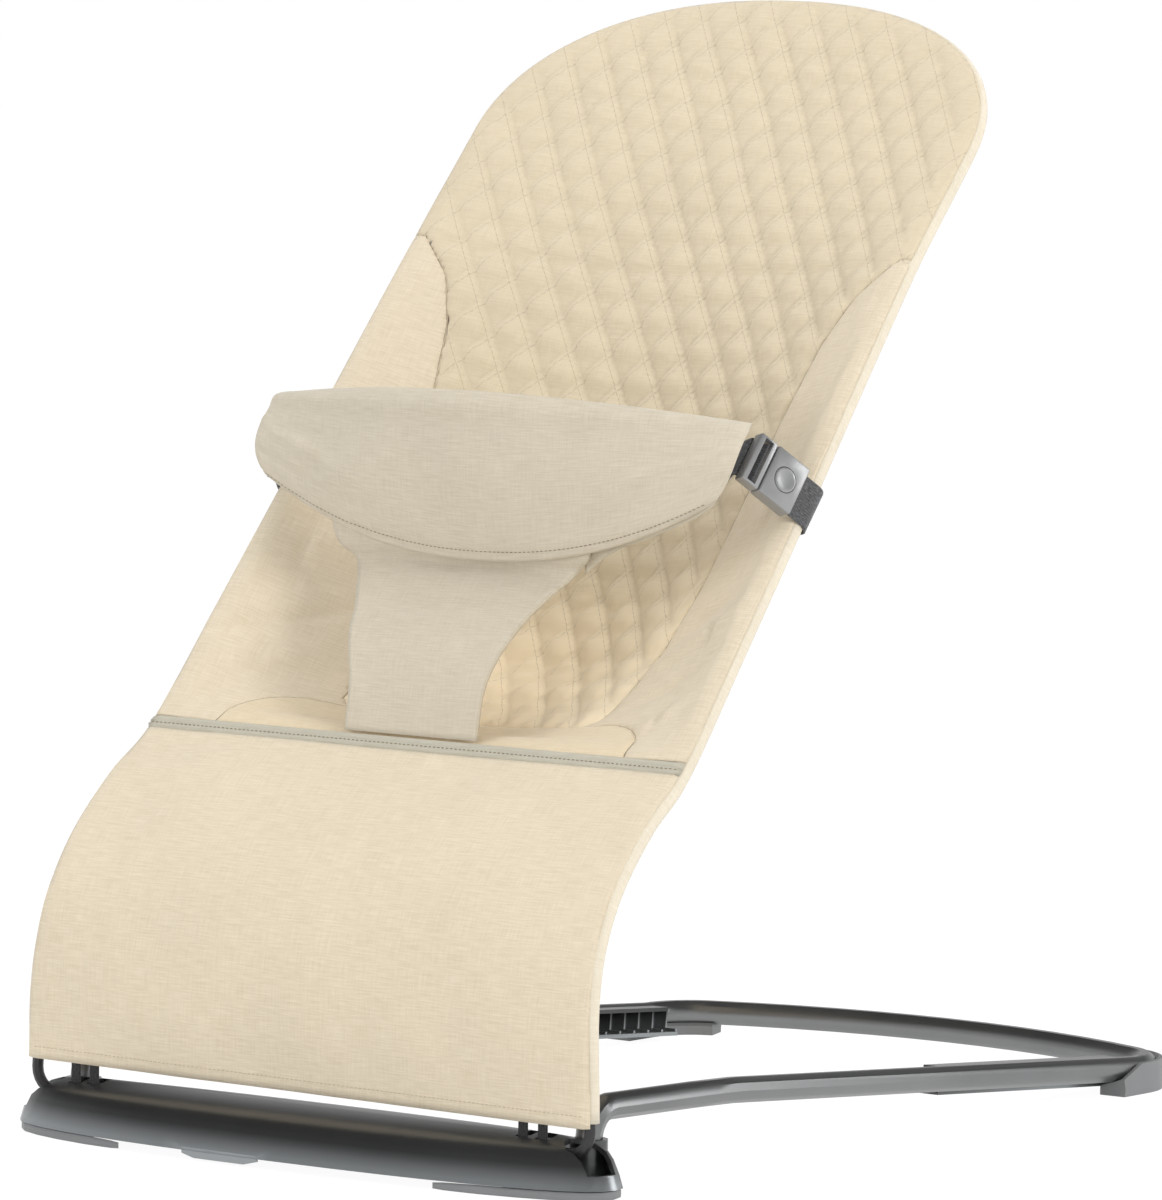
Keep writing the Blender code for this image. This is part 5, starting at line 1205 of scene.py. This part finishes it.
line = catmull_rom([np.append(place, half) for place, half in crotch_rows()], 8)
across = np.linspace(-1, 1, 41)
cx, cy, cz, half = (line[:, k, None] for k in range(4))
share = (np.arange(len(line)) / (len(line) - 1))[:, None]
x = cx + across * half
curve = flap_place(x / FLAP_HALF, np.interp(share, SHARE_ROWS, V_ROWS) + 0 * x)[..., 1]
bent = (curve - curve[:, len(across) // 2, None]) * np.clip((share - 0.5) * 10, 0, 1)
ripple = sum(tall * np.exp(-(((share - at - lean * across) / wide) ** 2))
             * np.clip((across - low) * 1.6, 0, 1) * np.clip((high - across) * 1.6, 0, 1)
             for at, lean, wide, tall, low, high in STRAP_FOLDS)
places = np.stack([x, cy + bent + ripple, cz + 0 * x], axis=-1).reshape(-1, 3)
flat = np.stack([across * half, lengths_along(line[:, :3])[:, None] + 0 * x], axis=-1)
crotch = panel_object("leg_divider_strap", flat.reshape(-1, 2),
                      grid_faces(len(line), len(across)), places)
face_forward(crotch, FORWARD)
thickened(crotch, CROTCH_THICK * 0.8)
dress(crotch, GREIGE, "restraint", "flap_cloth", "crotch_strap")

# %% [markdown]
# Under the padded flap lies its plain lining. Its lower edge shows as a thin pale line
# below the flap and as a small corner at each end, where the flap's own corner is rounder.

# %% Lining under the flap
LINING_THICK, LINING_COLUMNS, LINING_ROWS = 0.0008, 41, 9
LINING_FROM, LINING_LONG, LINING_TOP_V = 0.44, 0.535, 0.17
for word, side in SIDES:
    share, rise = np.meshgrid(np.linspace(0, 1, LINING_COLUMNS), np.linspace(0, 1, LINING_ROWS))
    share, rise = share.ravel(), rise.ravel()
    u = side * (LINING_FROM + LINING_LONG * share)
    v_low = -0.026 * np.clip((1 - share) * 8, 0, 1) - 0.12 * np.clip(1 - share / 0.42, 0, 1) ** 2
    v = v_low + (LINING_TOP_V - v_low) * rise
    past_strap = np.clip((np.abs(u) - 0.58) / 0.10, 0, 1)
    deep = 0.0062 - 0.0030 * past_strap * past_strap * (3 - 2 * past_strap)
    places = flap_place(u, v) + flap_normal(u, v) * deep[:, None]
    round_off = FLAP_HALF * 0.004 * np.clip(share - 0.9, 0, 1)
    places[:, 0] += side * (0.0022 * (1 - np.clip(v, 0, 1)) ** 4 * share ** 2 - round_off)
    lining = panel_object("flap_lining_" + word, np.stack([u * FLAP_HALF, v * FLAP_TALL], axis=1),
                          grid_faces(LINING_ROWS, LINING_COLUMNS), places)
    face_forward(lining, FORWARD)
    thickened(lining, LINING_THICK)
    dress(lining, GREIGE, "restraint", "flap_cloth")

# %% [markdown]
# The straps are flat, and a simulation would only soften them, so they are swept along
# their path with the direction of their width given at each point. Fine ribs along the
# webbing come from a small Geometry Nodes tree with the pitch and height as inputs.

# %% Webbing with ribs
RIB_PITCH, RIB_HEIGHT = 0.0016, 0.00014


def webbing_ribs_tree():
    """Raises fine ribs along a tape, by a wave of its flat pattern's x."""
    tree, given = geometry_tree("webbing_ribs", "Tape", "Tape",
                                {"Rib Pitch": RIB_PITCH, "Rib Height": RIB_HEIGHT}, finish=True)
    pattern = add_node(tree, "GeometryNodeInputNamedAttribute", {"data_type": "FLOAT_VECTOR"},
                       Name="across").outputs["Attribute"]
    x_at = add_node(tree, "ShaderNodeSeparateXYZ", i0=pattern).outputs[0]
    turns = math_node(tree, "DIVIDE", x_at, given["Rib Pitch"])
    wave = math_node(tree, "SINE", math_node(tree, "MULTIPLY", turns, 2 * math.pi))
    tall = math_node(tree, "MULTIPLY", wave, given["Rib Height"])
    facing = add_node(tree, "GeometryNodeInputNormal").outputs[0]
    lift = add_node(tree, "ShaderNodeVectorMath", {"operation": "SCALE"}, i0=facing, Scale=tall)
    moved = add_node(tree, "GeometryNodeSetPosition", Geometry=given["Tape"],
                     Offset=lift.outputs[0])
    return ended(tree, moved.outputs[0], given["Finish"])


def grown(obj, tree, **inputs):
    """Run a Geometry Nodes tree on the object and keep the plain mesh it makes."""
    mod = obj.modifiers.new(tree.name, "NODES")
    mod.node_group = tree
    for item in tree.interface.items_tree:
        key = item.name.replace(" ", "_")
        if item.item_type == "SOCKET" and item.in_out == "INPUT" and key in inputs:
            mod[item.identifier] = inputs[key]
    applied(obj)


RIBS = webbing_ribs_tree()


def strap(name, path, half_wide, thickness, material, pitch=RIB_PITCH, height=RIB_HEIGHT,
          columns=53):
    """A woven tape: path of places, each with the direction of its width."""
    line = catmull_rom([np.append(p, a) for p, a in path], 6)
    across = np.linspace(-1, 1, columns) * half_wide
    wide = line[:, 3:] / np.linalg.norm(line[:, 3:], axis=1)[:, None]
    places = line[:, None, :3] + across[:, None] * wide[:, None]
    flat = np.stack(np.meshgrid(across, lengths_along(line[:, :3])), axis=-1).reshape(-1, 2)
    obj = panel_object(name, flat, grid_faces(len(line), columns), places.reshape(-1, 3))
    held = obj.data.attributes.new("across", "FLOAT_VECTOR", "POINT")
    held.data.foreach_set("vector", np.column_stack([flat, np.zeros(len(flat))]).ravel())
    thickened(obj, thickness)
    grown(obj, RIBS, Rib_Pitch=pitch, Rib_Height=height, Finish=material)
    for face in obj.data.polygons:
        face.use_smooth = True
    return obj


# %% [markdown]
# On each side a short webbing goes from the buckle's body round the wire. A second one goes
# over the buckle's adjuster bar and in behind the flap, where it is sewn. The buckle stands
# away from the seat and leans inwards, so the places are given in its own directions: a
# away from the wire, b up along the wire and c out of the buckle's face.

# %% Webbing round the wire and to the flap
BUCKLE_Z, BUCKLE_TILT = 0.340, math.radians(21.4)
BODY_START, BODY_LONG, STRAP_WIDE, WEB = 0.0105, 0.0225, 0.025, 0.0014
OVER_BAR = ((0.0042, 0.0022), (0.0052, -0.0010), (0.0072, -0.0047), (0.0122, -0.0050))
BEHIND_FLAP = ((0.94, 0.0034), (0.87, 0.0024), (0.80, 0.0017))
STRAP_WRAP_R = WIRE_R + TUNNEL_GAP + CLOTH + 2 * GAP + WEB / 2


def buckle_axes(side):
    """Origin and directions of a buckle: away from the wire, up along it, out of its face."""
    s_at = s_at_z(BUCKLE_Z)
    wire = flat_point(side * float(half_width(s_at)), s_at)
    out = flat_point(0.0, s_at, -1.0) - flat_point(0.0, s_at)
    b = flat_point(0.0, s_at + 0.001) - flat_point(0.0, s_at - 0.001)
    b /= np.linalg.norm(b)
    cos, sin = math.cos(BUCKLE_TILT), math.sin(BUCKLE_TILT)
    a = np.array([-side * sin, 0, 0]) + out * cos
    c = np.array([side * cos, 0, 0]) + out * sin
    return wire, a, b, c


for word, side in SIDES:
    wire, a, b, c = buckle_axes(side)
    origin = wire + c * STRAP_WRAP_R
    path = [(origin + a * (BODY_START - GAP), b), (origin + a * 0.004, b)]
    path += [(wire + c * (STRAP_WRAP_R * math.cos(t)) - a * (STRAP_WRAP_R * math.sin(t)), b)
             for t in np.radians(np.linspace(0, 168, 9))]
    holder = strap("holder_strap_" + word, path, STRAP_WIDE / 2, WEB * 0.9, WEBBING)
    dress(holder, WEBBING, "seat", "webbing", "side_strap_" + word)
    a0 = BODY_START + BODY_LONG + 0.0004
    path = [(origin + a * (a0 + da) + c * dc, b) for da, dc in OVER_BAR]
    for at, more in BEHIND_FLAP:
        low, mid, high = (np.array([v]) for v in (0.3, 0.46, 0.6))
        u = np.array([side * at])
        rise = (flap_place(u, high) - flap_place(u, low))[0]
        off = flap_normal(u, mid)[0] * (FLAP_THICK / 2 + WEB / 2 + more)
        path.append((flap_place(u, mid)[0] + off, rise / np.linalg.norm(rise)))
    tail = strap("adjuster_strap_" + word, path, STRAP_WIDE / 2 - 0.0005, WEB * 0.9, WEBBING)
    dress(tail, WEBBING, "restraint", "webbing", "flap_webbing_" + word)
    print(holder.name, len(holder.data.polygons), tail.name, len(tail.data.polygons), "faces")

# %% [markdown]
# Four narrow elastics hold the hem down. Each goes about two thirds round the seat frame's
# cross bar, which turns in the front plate, and up behind the hem. They are made to their
# stretched length, taut, so a path of places is enough, and the tape helper sweeps them.

# %% Elastic loops under the hem
HINGE_Z, LOOP_TOP = 0.022, 0.011
HEM_STRAP_X, HEM_STRAP_WIDE, ELASTIC_THICK = (0.141, 0.1535), 0.0055, 0.0011


def loop_path(x, low_z, high_z):
    """Round the cross bar, and up behind the hem."""
    r = WIRE_R + GAP + ELASTIC_THICK / 2
    back_y = float(flat_point(0.0, HEM_S, CLOTH - FRONT + GAP)[1])
    places = [(x, HINGE_Y - r * math.cos(t), low_z + r * math.sin(t))
              for t in np.radians(np.linspace(150, 385, 10))]
    places += [(x, back_y, low_z + 0.006), (x, back_y, high_z)]
    return [(np.array(place), (1.0, 0, 0)) for place in places]


for word, side in SIDES:
    for spot, x_at in zip(("inner", "outer"), HEM_STRAP_X):
        path = loop_path(side * x_at, HINGE_Z, HEM_Z + LOOP_TOP)
        loop = strap("hem_loop_%s_%s" % (word, spot), path, HEM_STRAP_WIDE / 2, ELASTIC_THICK,
                     ELASTIC, 0.0011, 0.0001, 21)
        dress(loop, ELASTIC, "seat", "webbing", "hem_strap_%s_%s" % (word, spot))
print("hem loops", 2 * len(HEM_STRAP_X), "at x", HEM_STRAP_X)

# %% [markdown]
# Stitches repeat by the hundred, so Geometry Nodes place them: a line is resampled at the
# stitch length, a small bead is set on each point, turned along the line, and the result
# is made real. The same tree serves every seam with its own length and thickness.

# %% A tree for stitches


def stitch_tree():
    """A bead on each point of a resampled line, turned along the line."""
    tree, given = geometry_tree("stitch_row", "Line", "Stitches",
                                {"Stitch Pitch": 0.003, "Stitch Length": 0.0022,
                                 "Thread Width": 0.0006}, finish=True)
    curve = add_node(tree, "GeometryNodeMeshToCurve", Mesh=given["Line"])
    spaced = add_node(tree, "GeometryNodeResampleCurve", {"mode": "LENGTH"},
                      Curve=curve.outputs[0], Length=given["Stitch Pitch"])
    bead = add_node(tree, "GeometryNodeMeshUVSphere", Segments=5, Rings=3, Radius=0.5)
    run = add_node(tree, "GeometryNodeInputTangent").outputs[0]
    turned = add_node(tree, "FunctionNodeAlignRotationToVector", {"axis": "Z"}, Vector=run)
    wide = given["Thread Width"]
    size = add_node(tree, "ShaderNodeCombineXYZ", i0=wide, i1=wide, i2=given["Stitch Length"])
    placed = add_node(tree, "GeometryNodeInstanceOnPoints", Points=spaced.outputs[0],
                      Instance=bead.outputs["Mesh"], Rotation=turned.outputs[0],
                      Scale=size.outputs[0])
    return ended(tree, placed.outputs[0], given["Finish"])


STITCHES = stitch_tree()


def stitched(name, lines, pitch, length, width, material, body):
    """Rows of stitches along lines of places."""
    verts, edges = [], []
    for line in lines:
        start = len(verts)
        verts += [tuple(p) for p in line]
        edges += [(start + k, start + k + 1) for k in range(len(line) - 1)]
    mesh = bpy.data.meshes.new(name)
    mesh.from_pydata(verts, edges, [])
    obj = shown_object(name, mesh)
    grown(obj, STITCHES, Stitch_Pitch=pitch, Stitch_Length=length, Thread_Width=width,
          Finish=material)
    dress(obj, material, body)
    print(name, len(obj.data.polygons), "faces")


# %% [markdown]
# A stitch lies on its cloth. On the hem, the band and the flap each line of stitches is
# thrown against the finished piece, and the places where it lands carry the beads. Between
# the panels the cloth dives into the seam, so those follow the seam's own line. Pale thread
# is used at the hem and dark thread for the rest.

# %% The rows of stitches


def flat_row(s_at, half):
    """Places across the cover at one height, before the cloth sags."""
    x_at = np.linspace(-half, half, 240)
    return cover_point(x_at, np.full_like(x_at, s_at), 0.0, False)


into_leg = (0, 1, 0)
THREAD_LIFT = 0.0001
hem_places = flat_row(HEM_S + 0.0064, 0.179)
hem_places[:, 2] -= HEM_DROP + HEM_LEAN * hem_places[:, 0]
hem_row = on_surface(leg_cloth, hem_places, into_leg, THREAD_LIFT)
stitched("hem_stitches", [hem_row], 0.0028, 0.0021, 0.00055, THREAD, "seat")
band_row = on_surface(band, flat_row(BAND_S - 0.0012, 0.172), SEAT_BACK, THREAD_LIFT)
stitched("band_stitches", [band_row], 0.0028, 0.0019, 0.00065, DARK_THREAD, "seat")
u_line = np.linspace(-0.955, 0.955, 240)
flap_places = flap_place(u_line, np.full_like(u_line, FLAP_STITCH_V))
flap_row = on_surface(flap, flap_places, into_leg, THREAD_LIFT)
stitched("flap_stitches", [flap_row], 0.0028, 0.0021, 0.0006, DARK_THREAD, "restraint")
seam_lines = []
for _, side in SIDES:
    for edge in (POCKET_SIDE, [p for p in QUILT_SIDE if p[1] > SEAM_S + 0.004]):
        points = np.array(edge) * (side, 1)
        seam_lines.append(cover_point(points[:, 0], points[:, 1], 0.0003))
stitched("panel_seams", seam_lines, 0.0012, 0.0016, 0.0005, DARK_THREAD, "seat")

# %% [markdown]
# Last come the sizes. Cloth may stand a little proud of the modelled solids, but the object
# should keep the size it was modelled, so the box of all that is shown is printed.

# %% Sizes, and the end
low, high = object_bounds()
print("visual box", [round(b - a, 4) for a, b in zip(low, high)])
